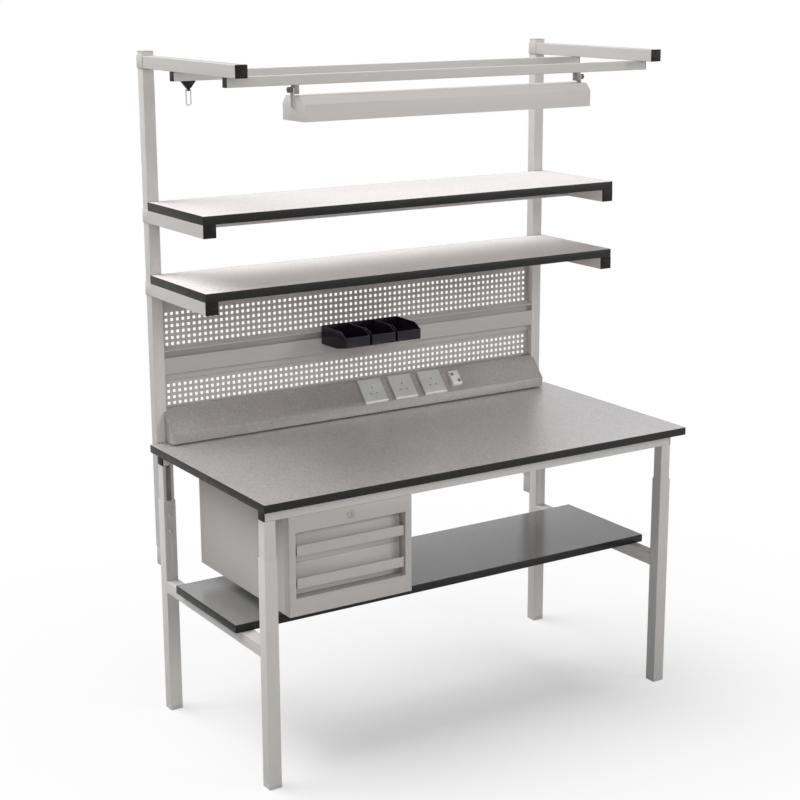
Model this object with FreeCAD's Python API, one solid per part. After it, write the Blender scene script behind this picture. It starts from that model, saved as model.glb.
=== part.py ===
import FreeCAD, Part
import math
import os

from FreeCAD import Vector

# Height-adjustable laboratory bench with reagent shelves, a drawer unit, socket trunking, bins and a
# lamp frame.  Millimetres, +Z up, +X to the right, -Y towards the person at the bench.  The origin
# lies on the floor, midway between the ends and midway between front edge and rearmost fixing.

# ---------------------------------------------------------------- boards
bench_width = 1500.0
bench_depth = 735.0
worktop_height = 862.0
worktop_thickness = 23.0
edging = 2.0

# ---------------------------------------------------------------- legs and underframe
leg = 40.0
leg_wall = 2.0
tube_corner = 2.0
spigot_corner = 1.5
leg_side_inset = 20.0
leg_front_inset = 43.0
outer_leg_top = 688.0
leg_overlap = 300.0
slide_gap = 0.25
inner_leg_wall = 2.0
inner_leg_slot = 16.0
rail_height = 40.0
rail_wall = 2.0
foot_height = 13.0
foot_spigot = 20.0
plug_thickness = 3.0
plug_spigot = 15.0
plug_gap = 0.2
rail_plug_spigot = 4.0
clamp_bolt_heights = (640.0, 589.0)
clamp_nut_width = 24.0
clamp_nut_height = 20.0
clamp_nut_thickness = 5.0
clamp_nut_gap = 0.3

# ---------------------------------------------------------------- lower shelf
crossbar_height = 38.0
crossbar_top = 431.0
lower_shelf_thickness = 24.0
lower_shelf_depth = 393.0
lower_shelf_setback = 191.0

# ---------------------------------------------------------------- fasteners
bolt_radius = 4.0
bolt_clearance = 0.2
button_head_radius = 7.0
button_head_height = 4.5
hex_head_radius = 7.5
hex_head_height = 5.3
screw_radius = 3.0
screw_head_radius = 6.0
screw_head_height = 3.0
screw_bite = 14.0
worktop_screw_inset = 80.0
worktop_screw_middle = 200.0
shelf_screw_inset = 60.0

# ---------------------------------------------------------------- uprights
upright = 36.0
upright_wall = 2.0
upright_gap = 1.0
upright_top = 2037.0
upright_bottom = 467.0
upright_tail = 61.0
upright_tail_step = 1.0
spacer_width = 30.0
spacer_clear = 44.0
upright_bolt_low = 64.0

# ---------------------------------------------------------------- perforated panels
panel_recess = 24.0
panel_sheet = 1.5
panel_flange = 12.0
hole_pitch = 18.6
hole_size = 9.3
panel_rows = 6
panel_margin = 30.0
upper_panel_top_margin = 48.0
upper_row_height = 1161.0
lower_row_height = 939.2

# ---------------------------------------------------------------- bin rail and bins
bin_rail_sheet = 1.5
bin_rail_top = 1155.5
bin_rail_nose = 1146.0
bin_rail_groove = 1142.0
bin_rail_foot = 1051.0
bin_band_top = 1123.0
bin_band_bottom = 1073.0
bin_rail_front = 1.0
bin_rail_web = 16.0
bin_count = 3
bin_pitch = 95.0
bins_centre = -1.5
bin_rear_width = 94.2
bin_front_width = 87.0
bin_length = 150.0
bin_floor = 1104.0
bin_back_top = 1164.0
bin_rim_length = 116.0
bin_front_top = 1147.0
bin_front_foot = 1115.0
bin_floor_length = 90.0
bin_wall = 2.0
bin_gap = 0.3
bin_hook_width = 60.0
bin_hook_drop = 8.0

# ---------------------------------------------------------------- socket trunking
trunking_sheet = 1.5
trunking_lift = 4.0
trunking_height = 99.5
trunking_lip = 30.0
trunking_reach = 56.0
trunking_top_width = 16.0
trunking_return = 12.0
trunking_back_gap = 2.0
trunking_cap_reach = 9.0
trunking_cap_gap = 0.3
plate_size = 86.0
plate_thickness = 8.0
plate_edge = 1.5
plate_count = 3
plate_pitch = 115.0
first_plate_x = 28.5
plate_slope_start = 2.3
socket_body = 56.0
socket_depth = 22.0
pin_slot = 3.8
pin_slot_length = 7.0
pin_depth = 6.0
pin_spread = 11.0
pin_drop = 11.0
module_x = 351.0
module_width = 36.0
module_height = 50.0
module_thickness = 12.0
module_slope_start = 21.0
jack_radius = 5.0
jack_bore = 1.9
jack_height = 2.0

# ---------------------------------------------------------------- drawer unit
cabinet_inset = 98.0
cabinet_width = 404.0
cabinet_depth = 560.0
cabinet_height = 294.0
cabinet_sheet = 1.5
stile = 21.0
fascia = 49.0
base_panel = 52.0
recess_depth = 30.0
drawer_count = 2
drawer_gap = 0.8
drawer_pan = 12.0
drawer_box_length = 460.0
drawer_box_height = 70.0
drawer_box_lift = 8.0
grip_lift = 26.0
grip_height = 31.0
grip_setback = 2.0
grip_end_gap = 4.0
runner_width = 14.0
runner_height = 35.0
runner_mouth = 22.0
runner_gap = 0.3
runner_length = 500.0
runner_bar_length = 440.0
packing_length = 30.0
packing_count = 3
hanger_width = 30.0
hanger_spread = 150.0
lock_radius = 11.0
lock_gap = 0.1
lock_bezel = 2.5
lock_bezel_height = 2.0
lock_length = 24.0
lock_key_slot = 1.6
lock_key_length = 12.0
lock_cam_length = 20.0

# ---------------------------------------------------------------- reagent shelves
arm_height = 38.0
arm_wall = 1.5
collar_wall = 1.7
collar_gap = 0.3
shelf_thickness = 25.0
shelf_setback = 365.0
shelf_rear_gap = 0.5
upper_shelf_top = 1600.5
lower_reagent_top = 1382.0
cross_rail_setback = 182.0
cross_rail_width = 38.0
clamp_tip_gap = 0.2
clamp_screw_radius = 4.0
clamp_head_height = 8.6

# ---------------------------------------------------------------- lamp frame
lamp_arm_top = 2024.0
lamp_arm_setback = 150.0
lamp_rail_width = 23.0
lamp_rail_height = 27.5
lamp_rail_wall = 2.0
lamp_rail_slot = 8.0
lamp_rail_end_inset = 4.0
lamp_rail_plug = 2.0
front_lamp_rail = 213.0
rear_lamp_rail = 540.0

# ---------------------------------------------------------------- lamp
lamp_inset = 207.0
lamp_length = 984.0
lamp_width = 116.0
lamp_top_width = 79.0
lamp_height = 68.0
lamp_side_height = 47.0
lamp_drop = 29.0
lamp_sheet = 1.5
lamp_end_thickness = 4.0
lamp_round = 6.0
diffuser_thickness = 3.0
diffuser_recess = 4.0
lamp_tube_radius = 13.0
lamp_tube_wall = 1.0
lamp_tube_spread = 23.0
lamp_tube_drop = 34.0
lamp_holder = 12.0
pivot_drop = 13.0
strap_thickness = 3.0
strap_width = 20.0
carrier_width = 14.7
carrier_depth = 20.0
carrier_height = 24.0
carrier_gap = 0.3
carrier_head = 16.0
carrier_head_height = 6.0
pivot_radius = 3.0
pivot_clearance = 0.08
knob_radius = 8.0
knob_length = 12.0
knob_lobes = 6
knob_lobe_radius = 2.0

# ---------------------------------------------------------------- hook
hook_inset = 51.0
trolley_top_width = 42.0
trolley_foot_width = 12.0
trolley_height = 20.0
trolley_depth = 12.0
trolley_tab = 8.0
trolley_tab_depth = 6.0
hook_wire = 2.0
hook_bar_gap = 0.08
hook_width = 14.0
hook_length = 44.0

# ---------------------------------------------------------------- places worked out from the sizes
clamp_reach = collar_gap + collar_wall + clamp_head_height
front = -(bench_depth + upright_gap + upright + clamp_reach) / 2
rear = front + bench_depth
half_width = bench_width / 2

inner_leg = leg - 2 * leg_wall - 2 * slide_gap
inner_inset = (leg - inner_leg) / 2
board_bottom = worktop_height - worktop_thickness
rail_bottom = board_bottom - rail_height
leg_x = (-half_width + leg_side_inset, -half_width + leg_side_inset + leg)
front_leg_y = (front + leg_front_inset, front + leg_front_inset + leg)
rear_leg_y = (rear - leg, rear)
inner_x = (leg_x[0] + inner_inset, leg_x[1] - inner_inset)
front_rail_y = (front_leg_y[0] + inner_inset, front_leg_y[1] - inner_inset)
rear_rail_y = (rear_leg_y[0] + inner_inset, rear_leg_y[1] - inner_inset)

upright_y = (rear + upright_gap, rear + upright_gap + upright)
upright_x = (leg_x[1] - upright, leg_x[1])
bay = (upright_x[1], -upright_x[1])
panel_y = upright_y[0] + panel_recess
collar_y = (upright_y[0] - collar_gap - collar_wall, upright_y[1] + collar_gap + collar_wall)
collar_x = (upright_x[0] - collar_gap - collar_wall, upright_x[1] + collar_gap + collar_wall)

cabinet_x = (-half_width + cabinet_inset, -half_width + cabinet_inset + cabinet_width)
cabinet_y = (front_rail_y[0], front_rail_y[0] + cabinet_depth)
cabinet_z = (rail_bottom - cabinet_height, rail_bottom)
window_x = (cabinet_x[0] + stile, cabinet_x[1] - stile)
window_z = (cabinet_z[0] + base_panel, cabinet_z[1] - fascia)
drawer_front_y = cabinet_y[0] + recess_depth
drawer_pitch = (window_z[1] - window_z[0] - drawer_gap) / drawer_count
drawer_front_height = drawer_pitch - drawer_gap

lamp_arm_z = (lamp_arm_top - upright, lamp_arm_top)
lamp_rail_x = (upright_x[0] + lamp_rail_end_inset, -upright_x[0] - lamp_rail_end_inset)
lamp_rail_z = (lamp_arm_z[0] - lamp_rail_height, lamp_arm_z[0])
front_lamp_y = front + front_lamp_rail + lamp_rail_width / 2
rear_lamp_y = front + rear_lamp_rail + lamp_rail_width / 2
lamp_x = (lamp_rail_x[0] + lamp_inset, lamp_rail_x[0] + lamp_inset + lamp_length)
hook_x = lamp_rail_x[0] + hook_inset
lamp_top = lamp_rail_z[0] - lamp_drop
pivot_z = lamp_rail_z[0] - pivot_drop


# ---------------------------------------------------------------- shapes
def box(x, y, z):
    """A block between pairs of limits."""
    return Part.makeBox(x[1] - x[0], y[1] - y[0], z[1] - z[0], Vector(x[0], y[0], z[0]))


def about(middle, size):
    """The pair of limits of a size centred on a place."""
    return (middle - size / 2, middle + size / 2)


def inset(limits, amount):
    """A pair of limits drawn in by an amount at both ends."""
    return (limits[0] + amount, limits[1] - amount)


def rounded(shape, axis, radius):
    """The shape with its edges along an axis rounded."""
    edges = []
    for edge in shape.Edges:
        run = edge.Vertexes[-1].Point - edge.Vertexes[0].Point
        if abs(run.dot(axis)) > 0.999 * run.Length:
            edges.append(edge)
    return shape.makeFillet(radius, edges)


def tube(x, y, z, axis, wall, corner=tube_corner):
    """A rectangular tube that runs along an axis and fills the given limits."""
    hollow = []
    for limits, along in ((x, axis.x), (y, axis.y), (z, axis.z)):
        hollow.append(limits if abs(along) > 0.5 else inset(limits, wall))
    outside = rounded(box(x, y, z), axis, corner)
    return outside.cut(rounded(box(*hollow), axis, corner - wall / 2))


def spigot(x, y, z, axis):
    """The part of a plug that goes into a tube that runs along an axis."""
    return rounded(box(x, y, z), axis, spigot_corner)


def rod(radius, start, end):
    """A round bar from one point to another."""
    return Part.makeCylinder(radius, (end - start).Length, start, end - start)


def prism(points, x):
    """A (y, z) outline drawn out along X."""
    corners = [Vector(x[0], y, z) for y, z in points]
    outline = Part.makePolygon(corners + corners[:1])
    return Part.Face(outline).extrude(Vector(x[1] - x[0], 0, 0))


def folded_sheet(path, thickness, x):
    """Sheet metal folded along a (y, z) path, with its thickness on the path's left side."""
    normals = []
    for (y0, z0), (y1, z1) in zip(path, path[1:]):
        length = math.hypot(y1 - y0, z1 - z0)
        normals.append((-(z1 - z0) / length, (y1 - y0) / length))
    offset = []
    for index, (y, z) in enumerate(path):
        before = normals[max(index - 1, 0)]
        after = normals[min(index, len(normals) - 1)]
        share = thickness / (1 + before[0] * after[0] + before[1] * after[1])
        offset.append((y + share * (before[0] + after[0]), z + share * (before[1] + after[1])))
    return prism(list(path) + offset[::-1], x)


def mirrored(shape):
    """The shape reflected to the other end of the bench."""
    return shape.mirror(Vector(0, 0, 0), Vector(1, 0, 0))


def flipped(limits):
    """A pair of limits reflected to the other end of the bench."""
    return (-limits[1], -limits[0])


def fused(first, *others):
    """Several touching shapes joined to one solid."""
    return first.multiFuse(list(others)).removeSplitter()


def bolt(head_radius, head_height, shank_radius, face, inward, length, sides=0):
    """A bolt whose head stands on a face and whose shank goes inward."""
    head = rod(head_radius, face - inward * head_height, face)
    if sides:
        corners = []
        across = inward.cross(Vector(1, 0, 0) if abs(inward.x) < 0.5 else Vector(0, 0, 1))
        for step in range(sides + 1):
            arm = FreeCAD.Rotation(inward, 360.0 * step / sides).multVec(across * head_radius)
            corners.append(face + arm)
        head = Part.Face(Part.makePolygon(corners)).extrude(inward * -head_height)
    return fused(head, rod(shank_radius, face, face + inward * length))


def save(node, shapes):
    """Write one sub-part, as one solid or as a group of separate solids."""
    solids = []
    for shape in shapes:
        solids.extend(shape.Solids)
    whole = solids[0] if len(solids) == 1 else Part.makeCompound(solids)
    whole.exportStep("parts/" + node + ".step")


X_AXIS = Vector(1, 0, 0)
Y_AXIS = Vector(0, 1, 0)
Z_AXIS = Vector(0, 0, 1)


# ---------------------------------------------------------------- boards with their edging
def edged_board(x, y, z):
    """A board and the four edging strips round it, mitred at the corners."""
    core = box(inset(x, edging), inset(y, edging), z)
    middle_x = (x[0] + x[1]) / 2
    middle_y = (y[0] + y[1]) / 2
    strips = []
    for turn in range(4):
        along_x = turn % 2 == 0
        sign = 1 if turn < 2 else -1
        half = (x[1] - x[0]) / 2 if along_x else (y[1] - y[0]) / 2
        edge = (y[1] - y[0]) / 2 if along_x else (x[1] - x[0]) / 2
        inner = edge - edging
        corners = [(-half, edge), (half, edge), (half - edging, inner), (edging - half, inner)]
        points = []
        for along, out in corners:
            place = (along, out * sign) if along_x else (out * sign, along)
            points.append(Vector(middle_x + place[0], middle_y + place[1], z[0]))
        outline = Part.makePolygon(points + points[:1])
        strips.append(Part.Face(outline).extrude(Vector(0, 0, z[1] - z[0])))
    return core, strips


# ---------------------------------------------------------------- fixed base
def leg_places():
    """Each leg's name, X limits, Y limits and the way that its slotted face looks."""
    for side, x in (("left", leg_x), ("right", flipped(leg_x))):
        yield "front_" + side, x, front_leg_y, 1
        yield "rear_" + side, x, rear_leg_y, -1


def clamp_places(x, y, facing):
    """Where a leg's clamp bolts meet its inward face."""
    face_y = y[1] if facing > 0 else y[0]
    for height in clamp_bolt_heights:
        yield Vector((x[0] + x[1]) / 2, face_y, height)


def outer_leg(x, y, facing):
    """The lower tube of a leg, with its two clamp holes."""
    shape = tube(x, y, (foot_height, outer_leg_top), Z_AXIS, leg_wall)
    inward = Vector(0, -facing, 0)
    for place in clamp_places(x, y, facing):
        hole = rod(bolt_radius + bolt_clearance, place - inward, place + inward * 2 * leg_wall)
        shape = shape.cut(hole)
    return shape


def foot(x, y):
    """A plastic foot that plugs the end of a leg."""
    pad = rounded(box(x, y, (0, foot_height)), Z_AXIS, tube_corner)
    grip = leg_wall + plug_gap
    grip_z = (foot_height, foot_height + foot_spigot)
    return fused(pad, spigot(inset(x, grip), inset(y, grip), grip_z, Z_AXIS))


def clamp_bolts(x, y, facing):
    """The bolts of one leg with their square nuts behind the inner leg's lips."""
    inward = Vector(0, -facing, 0)
    nut_start = leg_wall + slide_gap + inner_leg_wall + clamp_nut_gap
    solids = []
    for place in clamp_places(x, y, facing):
        length = nut_start + clamp_nut_thickness
        solids.append(bolt(button_head_radius, button_head_height, bolt_radius, place, inward, length))
        near = place.y + inward.y * nut_start
        far = near + inward.y * clamp_nut_thickness
        nut = box(about(place.x, clamp_nut_width), (min(near, far), max(near, far)),
                  about(place.z, clamp_nut_height))
        solids.append(nut.cut(rod(bolt_radius, place, place + inward * (length + 1))))
    return solids


def make_base():
    """Outer legs, crossbars, feet, clamp bolts and the lower shelf."""
    feet = []
    bolts = []
    for name, x, y, facing in leg_places():
        save("outer_leg_" + name, [outer_leg(x, y, facing)])
        feet.append(foot(x, y))
        bolts.extend(clamp_bolts(x, y, facing))
    save("leg_feet", feet)
    save("leg_clamp_bolts", bolts)
    bar = tube(leg_x, (front_leg_y[1], rear_leg_y[0]), (crossbar_top - crossbar_height, crossbar_top),
               Y_AXIS, leg_wall)
    shelf_y = (front + lower_shelf_setback, front + lower_shelf_setback + lower_shelf_depth)
    shelf_z = (crossbar_top, crossbar_top + lower_shelf_thickness)
    board, strips = edged_board((-half_width, half_width), shelf_y, shelf_z)
    screws = []
    for y in inset(shelf_y, shelf_screw_inset):
        place = Vector((leg_x[0] + leg_x[1]) / 2, y, crossbar_top - crossbar_height)
        length = crossbar_height + screw_bite
        screw = bolt(screw_head_radius, screw_head_height, screw_radius, place, Z_AXIS, length)
        screws.extend((screw, mirrored(screw)))
        above = place + Z_AXIS * (crossbar_height + 1)
        bar = bar.cut(rod(screw_radius + bolt_clearance, place - Z_AXIS, above))
        board = board.cut(rod(screw_radius, place, place + Z_AXIS * length))
        board = board.cut(mirrored(rod(screw_radius, place, place + Z_AXIS * length)))
    save("lower_crossbars", [bar, mirrored(bar)])
    save("lower_shelf_board", [board])
    save("lower_shelf_edging", strips)
    save("lower_shelf_screws", screws)


# ---------------------------------------------------------------- underframe and worktop
def inner_leg_shape(x, y, facing):
    """The slotted channel that slides in an outer leg."""
    z = (outer_leg_top - leg_overlap, rail_bottom)
    shape = tube(x, y, z, Z_AXIS, inner_leg_wall)
    middle_y = (y[0] + y[1]) / 2
    slot_y = (middle_y, y[1] + 1) if facing > 0 else (y[0] - 1, middle_y)
    shape = shape.cut(box(about((x[0] + x[1]) / 2, inner_leg_slot), slot_y, z))
    if facing < 0:
        for place in upright_bolt_places():
            if abs(place.x - (x[0] + x[1]) / 2) < leg:
                shape = shape.cut(upright_bolt_hole(place))
    return shape


def worktop_screw_places():
    """Where the worktop screws come up through the two rails."""
    for y in (front_rail_y, rear_rail_y):
        for x in (half_width - worktop_screw_inset, worktop_screw_middle):
            for sign in (-1, 1):
                yield Vector(sign * x, (y[0] + y[1]) / 2, rail_bottom)


def rail(y):
    """A rail under the worktop, with the screws' and the uprights' holes."""
    x = inset((inner_x[0], -inner_x[0]), plug_thickness)
    shape = tube(x, y, (rail_bottom, board_bottom), X_AXIS, rail_wall)
    for place in worktop_screw_places():
        if y[0] < place.y < y[1]:
            hole = rod(screw_radius + bolt_clearance, place - Z_AXIS, place + Z_AXIS * (rail_height + 1))
            shape = shape.cut(hole)
    return shape


def rail_plug(x, y, z, wall):
    """A plug in the left-hand end of a rail whose wall is given."""
    grip = wall + plug_gap
    head = rounded(box(x, y, z), X_AXIS, tube_corner)
    return fused(head, spigot((x[1], x[1] + rail_plug_spigot), inset(y, grip), inset(z, grip), X_AXIS))


def arm_plug(x, y, z):
    """A plug in the front end of an arm."""
    grip = arm_wall + plug_gap
    head = rounded(box(x, y, z), Y_AXIS, tube_corner)
    return fused(head, spigot(inset(x, grip), (y[1], y[1] + plug_spigot), inset(z, grip), Y_AXIS))


def upright_bolt_places():
    """Where the bolts go in at the rear of both uprights."""
    middle = (upright_x[0] + upright_x[1]) / 2
    for x in (middle, -middle):
        for z in (board_bottom - rail_height / 2, board_bottom - rail_height / 2 - upright_bolt_low):
            yield Vector(x, upright_y[1], z)


def upright_bolt_length():
    """From the rear of an upright through the front wall of what it is bolted to."""
    return upright_y[1] - rear_rail_y[1] + rail_wall + clamp_nut_thickness


def upright_bolt_hole(place):
    """The clearance hole for an upright's bolt."""
    end = place - Y_AXIS * (upright_bolt_length() + 1)
    return rod(bolt_radius + bolt_clearance, place + Y_AXIS, end)


def make_underframe():
    """Inner legs, rails, their plugs and the screws that hold the worktop."""
    legs = []
    for name, x, y, facing in leg_places():
        legs.append(inner_leg_shape(inset(x, inner_inset), inset(y, inner_inset), facing))
    save("inner_legs", legs)
    save("front_rail", [rail(front_rail_y)])
    rear_rail = rail(rear_rail_y)
    for place in upright_bolt_places():
        rear_rail = rear_rail.cut(upright_bolt_hole(place))
    save("rear_rail", [rear_rail])
    plugs = []
    for y in (front_rail_y, rear_rail_y):
        head = (inner_x[0], inner_x[0] + plug_thickness)
        plug = rail_plug(head, y, (rail_bottom, board_bottom), rail_wall)
        plugs.extend((plug, mirrored(plug)))
    save("rail_end_caps", plugs)


def make_worktop():
    """The speckled board, its edging and its screws."""
    board, strips = edged_board((-half_width, half_width), (front, rear), (board_bottom, worktop_height))
    screws = []
    for place in worktop_screw_places():
        length = rail_height + screw_bite
        screws.append(bolt(screw_head_radius, screw_head_height, screw_radius, place, Z_AXIS, length))
        board = board.cut(rod(screw_radius, place, place + Z_AXIS * length))
    save("worktop_board", [board])
    save("worktop_edging", strips)
    save("worktop_screws", screws)


# ---------------------------------------------------------------- uprights
def make_uprights():
    """Two square posts behind the legs, their plugs, spacers and bolts."""
    body_z = (upright_bottom + upright_tail, upright_top - plug_thickness)
    shape = tube(upright_x, upright_y, body_z, Z_AXIS, upright_wall)
    for place in upright_bolt_places():
        shape = shape.cut(upright_bolt_hole(place))
    save("upright_left", [shape])
    save("upright_right", [mirrored(shape)])

    grip = upright_wall + plug_gap
    inner = (inset(upright_x, grip), inset(upright_y, grip))
    cap = rounded(box(upright_x, upright_y, (body_z[1], upright_top)), Z_AXIS, tube_corner)
    cap = fused(cap, spigot(*inner, (body_z[1] - plug_spigot, body_z[1]), Z_AXIS))
    stepped = (inset(upright_x, upright_tail_step), inset(upright_y, upright_tail_step))
    tail = rounded(box(*stepped, (upright_bottom, body_z[0])), Z_AXIS, spigot_corner)
    tail = fused(tail, spigot(*inner, (body_z[0], body_z[0] + plug_spigot), Z_AXIS))
    save("upright_end_plugs", [cap, mirrored(cap), tail, mirrored(tail)])

    fixings = []
    spacer_y = (rear_rail_y[1], upright_y[0])
    middle = (upright_x[0] + upright_x[1]) / 2
    for x in (middle, -middle):
        spacer = box(about(x, spacer_width), spacer_y, (outer_leg_top + spacer_clear, board_bottom))
        for place in upright_bolt_places():
            spacer = spacer.cut(upright_bolt_hole(place))
        fixings.append(spacer)
    length = upright_bolt_length()
    for place in upright_bolt_places():
        fixings.append(bolt(hex_head_radius, hex_head_height, bolt_radius, place, -Y_AXIS, length, 6))
        nut_y = (rear_rail_y[1] - rail_wall - clamp_nut_thickness, rear_rail_y[1] - rail_wall)
        nut = box(about(place.x, clamp_nut_height), nut_y, about(place.z, clamp_nut_height))
        fixings.append(nut.cut(rod(bolt_radius, place, place - Y_AXIS * (length + 1))))
    save("upright_bolts", fixings)


# ---------------------------------------------------------------- perforated panels and bin rail
def perforated_panel(first_row, top_margin):
    """A sheet with square holes and four folded edges, its lowest row of holes at first_row."""
    x = bay
    z = (first_row - panel_margin, first_row + (panel_rows - 1) * hole_pitch + top_margin)
    columns = int((x[1] - x[0] - hole_pitch) // hole_pitch)
    start = -(columns - 1) * hole_pitch / 2
    y = panel_y

    def loop(limits_x, limits_z):
        order = ((0, 0), (1, 0), (1, 1), (0, 1), (0, 0))
        return Part.makePolygon([Vector(limits_x[i], y, limits_z[j]) for i, j in order])

    outlines = [loop(x, z)]
    for column in range(columns):
        middle_x = start + column * hole_pitch
        for row in range(panel_rows):
            middle_z = first_row + row * hole_pitch
            outlines.append(loop(about(middle_x, hole_size), about(middle_z, hole_size)))
    sheet = Part.Face(outlines, "Part::FaceMakerBullseye").extrude(Vector(0, panel_sheet, 0))
    flange_y = (y + panel_sheet, y + panel_flange)
    rim = box(x, flange_y, z).cut(box(inset(x, panel_sheet), flange_y, inset(z, panel_sheet)))
    return sheet.fuse(rim)


def make_panels():
    """Upper and lower perforated panels and the rail that the bins hang on."""
    save("perforated_panel_upper", [perforated_panel(upper_row_height, upper_panel_top_margin)])
    save("perforated_panel_lower", [perforated_panel(lower_row_height, panel_margin)])
    nose = upright_y[0] + bin_rail_front
    web = upright_y[0] + bin_rail_web
    back_path = [(panel_y, bin_rail_top), (nose, bin_rail_nose), (nose, bin_rail_groove),
                 (web, bin_rail_groove), (web, bin_rail_foot), (panel_y, bin_rail_foot)]
    band_path = [(web, bin_band_bottom), (nose, bin_band_bottom), (nose, bin_band_top)]
    back = folded_sheet(back_path, bin_rail_sheet, bay)
    back = back.cut(box(bay, (panel_y, panel_y + bin_rail_sheet), (bin_rail_foot, bin_rail_top)))
    save("bin_rail", [fused(back, folded_sheet(band_path, -bin_rail_sheet, bay))])


# ---------------------------------------------------------------- bins
def bin_block(profile, rear_half, front_half, middle):
    """A tapered block: its (y, z) outline is narrower at the front than at the rear."""
    rear_y = max(y for y, z in profile)
    front_y = min(y for y, z in profile)
    sides = []
    for sign in (-1, 1):
        points = []
        for y, z in profile:
            share = (rear_y - y) / (rear_y - front_y)
            points.append(Vector(middle + sign * (rear_half + share * (front_half - rear_half)), y, z))
        sides.append(Part.makePolygon(points + points[:1]))
    return Part.makeLoft(sides, True, True)


def storage_bin(middle):
    """An open-fronted bin with a hook that drops behind the rail's band."""
    nose = upright_y[0] + bin_rail_front
    back = nose - bin_gap
    tip = back - bin_length
    outline = [(back, bin_floor), (back, bin_back_top), (back - bin_rim_length, bin_back_top),
               (tip, bin_front_top), (tip, bin_front_foot), (back - bin_floor_length, bin_floor)]
    wall = bin_wall
    hollow = [(back - wall, bin_floor + wall), (back - wall, bin_back_top + wall),
              (tip + wall, bin_back_top + wall), (tip + wall, bin_front_foot + wall / 2),
              (back - bin_floor_length, bin_floor + wall)]
    shape = bin_block(outline, bin_rear_width / 2, bin_front_width / 2, middle)
    inside = bin_block(hollow, bin_rear_width / 2 - wall, bin_front_width / 2 - wall, middle)
    shape = shape.cut(inside)
    hook_x = about(middle, bin_hook_width)
    behind = nose + bin_rail_sheet + bin_gap
    top = bin_band_top + bin_gap
    bridge = box(hook_x, (back - wall / 2, behind + wall), (top, top + wall))
    drop = box(hook_x, (behind, behind + wall), (top - bin_hook_drop, top))
    return fused(shape, bridge, drop)


def make_bins():
    """A row of equal bins."""
    for index in range(bin_count):
        middle = bins_centre + (index - (bin_count - 1) / 2) * bin_pitch
        save("bin_%d" % (index + 1), [storage_bin(middle)])


# ---------------------------------------------------------------- socket trunking
trunking_z = (worktop_height + trunking_lift, worktop_height + trunking_lift + trunking_height)
trunking_back = panel_y - trunking_back_gap
trunking_front = upright_y[0] - trunking_reach
slope_foot = (trunking_front, trunking_z[0] + trunking_lip)
slope_head = (trunking_back - trunking_top_width, trunking_z[1])
slope_run = slope_head[0] - slope_foot[0]
slope_rise = slope_head[1] - slope_foot[1]
slope_angle = math.degrees(math.atan2(slope_rise, slope_run))


def on_slope(shape):
    """A shape drawn flat, X along the trunking and Y up the slope, laid on the sloping face."""
    placed = shape.copy()
    placed.rotate(Vector(0, 0, 0), X_AXIS, slope_angle)
    placed.translate(Vector(0, slope_foot[0], slope_foot[1]))
    return placed


def socket_plate(middle):
    """A square outlet plate with three shallow pin slots and its body behind it."""
    low = plate_slope_start
    centre = low + plate_size / 2
    plate = box(about(middle, plate_size), (low, low + plate_size), (0, plate_thickness))
    rim = [edge for edge in plate.Edges if edge.CenterOfMass.z > plate_thickness / 2]
    plate = plate.makeChamfer(plate_edge, rim)
    plate = plate.fuse(box(about(middle, socket_body), about(centre, socket_body), (-socket_depth, 0)))
    slots = [(0, pin_drop, pin_slot, pin_slot_length)]
    for sign in (-1, 1):
        slots.append((sign * pin_spread, -pin_drop, pin_slot_length, pin_slot))
    for x, y, wide, high in slots:
        depth = (plate_thickness - pin_depth, plate_thickness)
        plate = plate.cut(box(about(middle + x, wide), about(centre + y, high), depth))
    return on_slope(plate)


def plate_middles():
    """Where the outlet plates stand along the trunking."""
    return [first_plate_x + index * plate_pitch for index in range(plate_count)]


def data_module():
    """A small block with two round jacks, one above the other and to one side."""
    y = (module_slope_start, module_slope_start + module_height)
    block = box(about(module_x, module_width), y, (0, module_thickness))
    rim = [edge for edge in block.Edges if edge.CenterOfMass.z > module_thickness / 2]
    block = block.makeChamfer(plate_edge, rim)
    for sign in (-1, 1):
        x = module_x + sign * module_width / 4
        place = Vector(x, (y[0] + y[1]) / 2 - sign * module_height / 4, module_thickness)
        block = block.fuse(rod(jack_radius, place, place + Z_AXIS * jack_height))
        block = block.cut(rod(jack_bore, place - Z_AXIS * pin_depth, place + Z_AXIS * jack_height))
    return on_slope(block)


def end_cover():
    """The left-hand cap that closes the cover and laps in front of the upright."""
    stop = upright_y[0] - trunking_cap_gap
    height = slope_foot[1] + slope_rise * (stop - slope_foot[0]) / slope_run
    outline = [(trunking_front, trunking_z[0]), (stop, trunking_z[0]), (stop, height), slope_foot]
    return prism(outline, (bay[0] - trunking_cap_reach, bay[0]))


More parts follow.
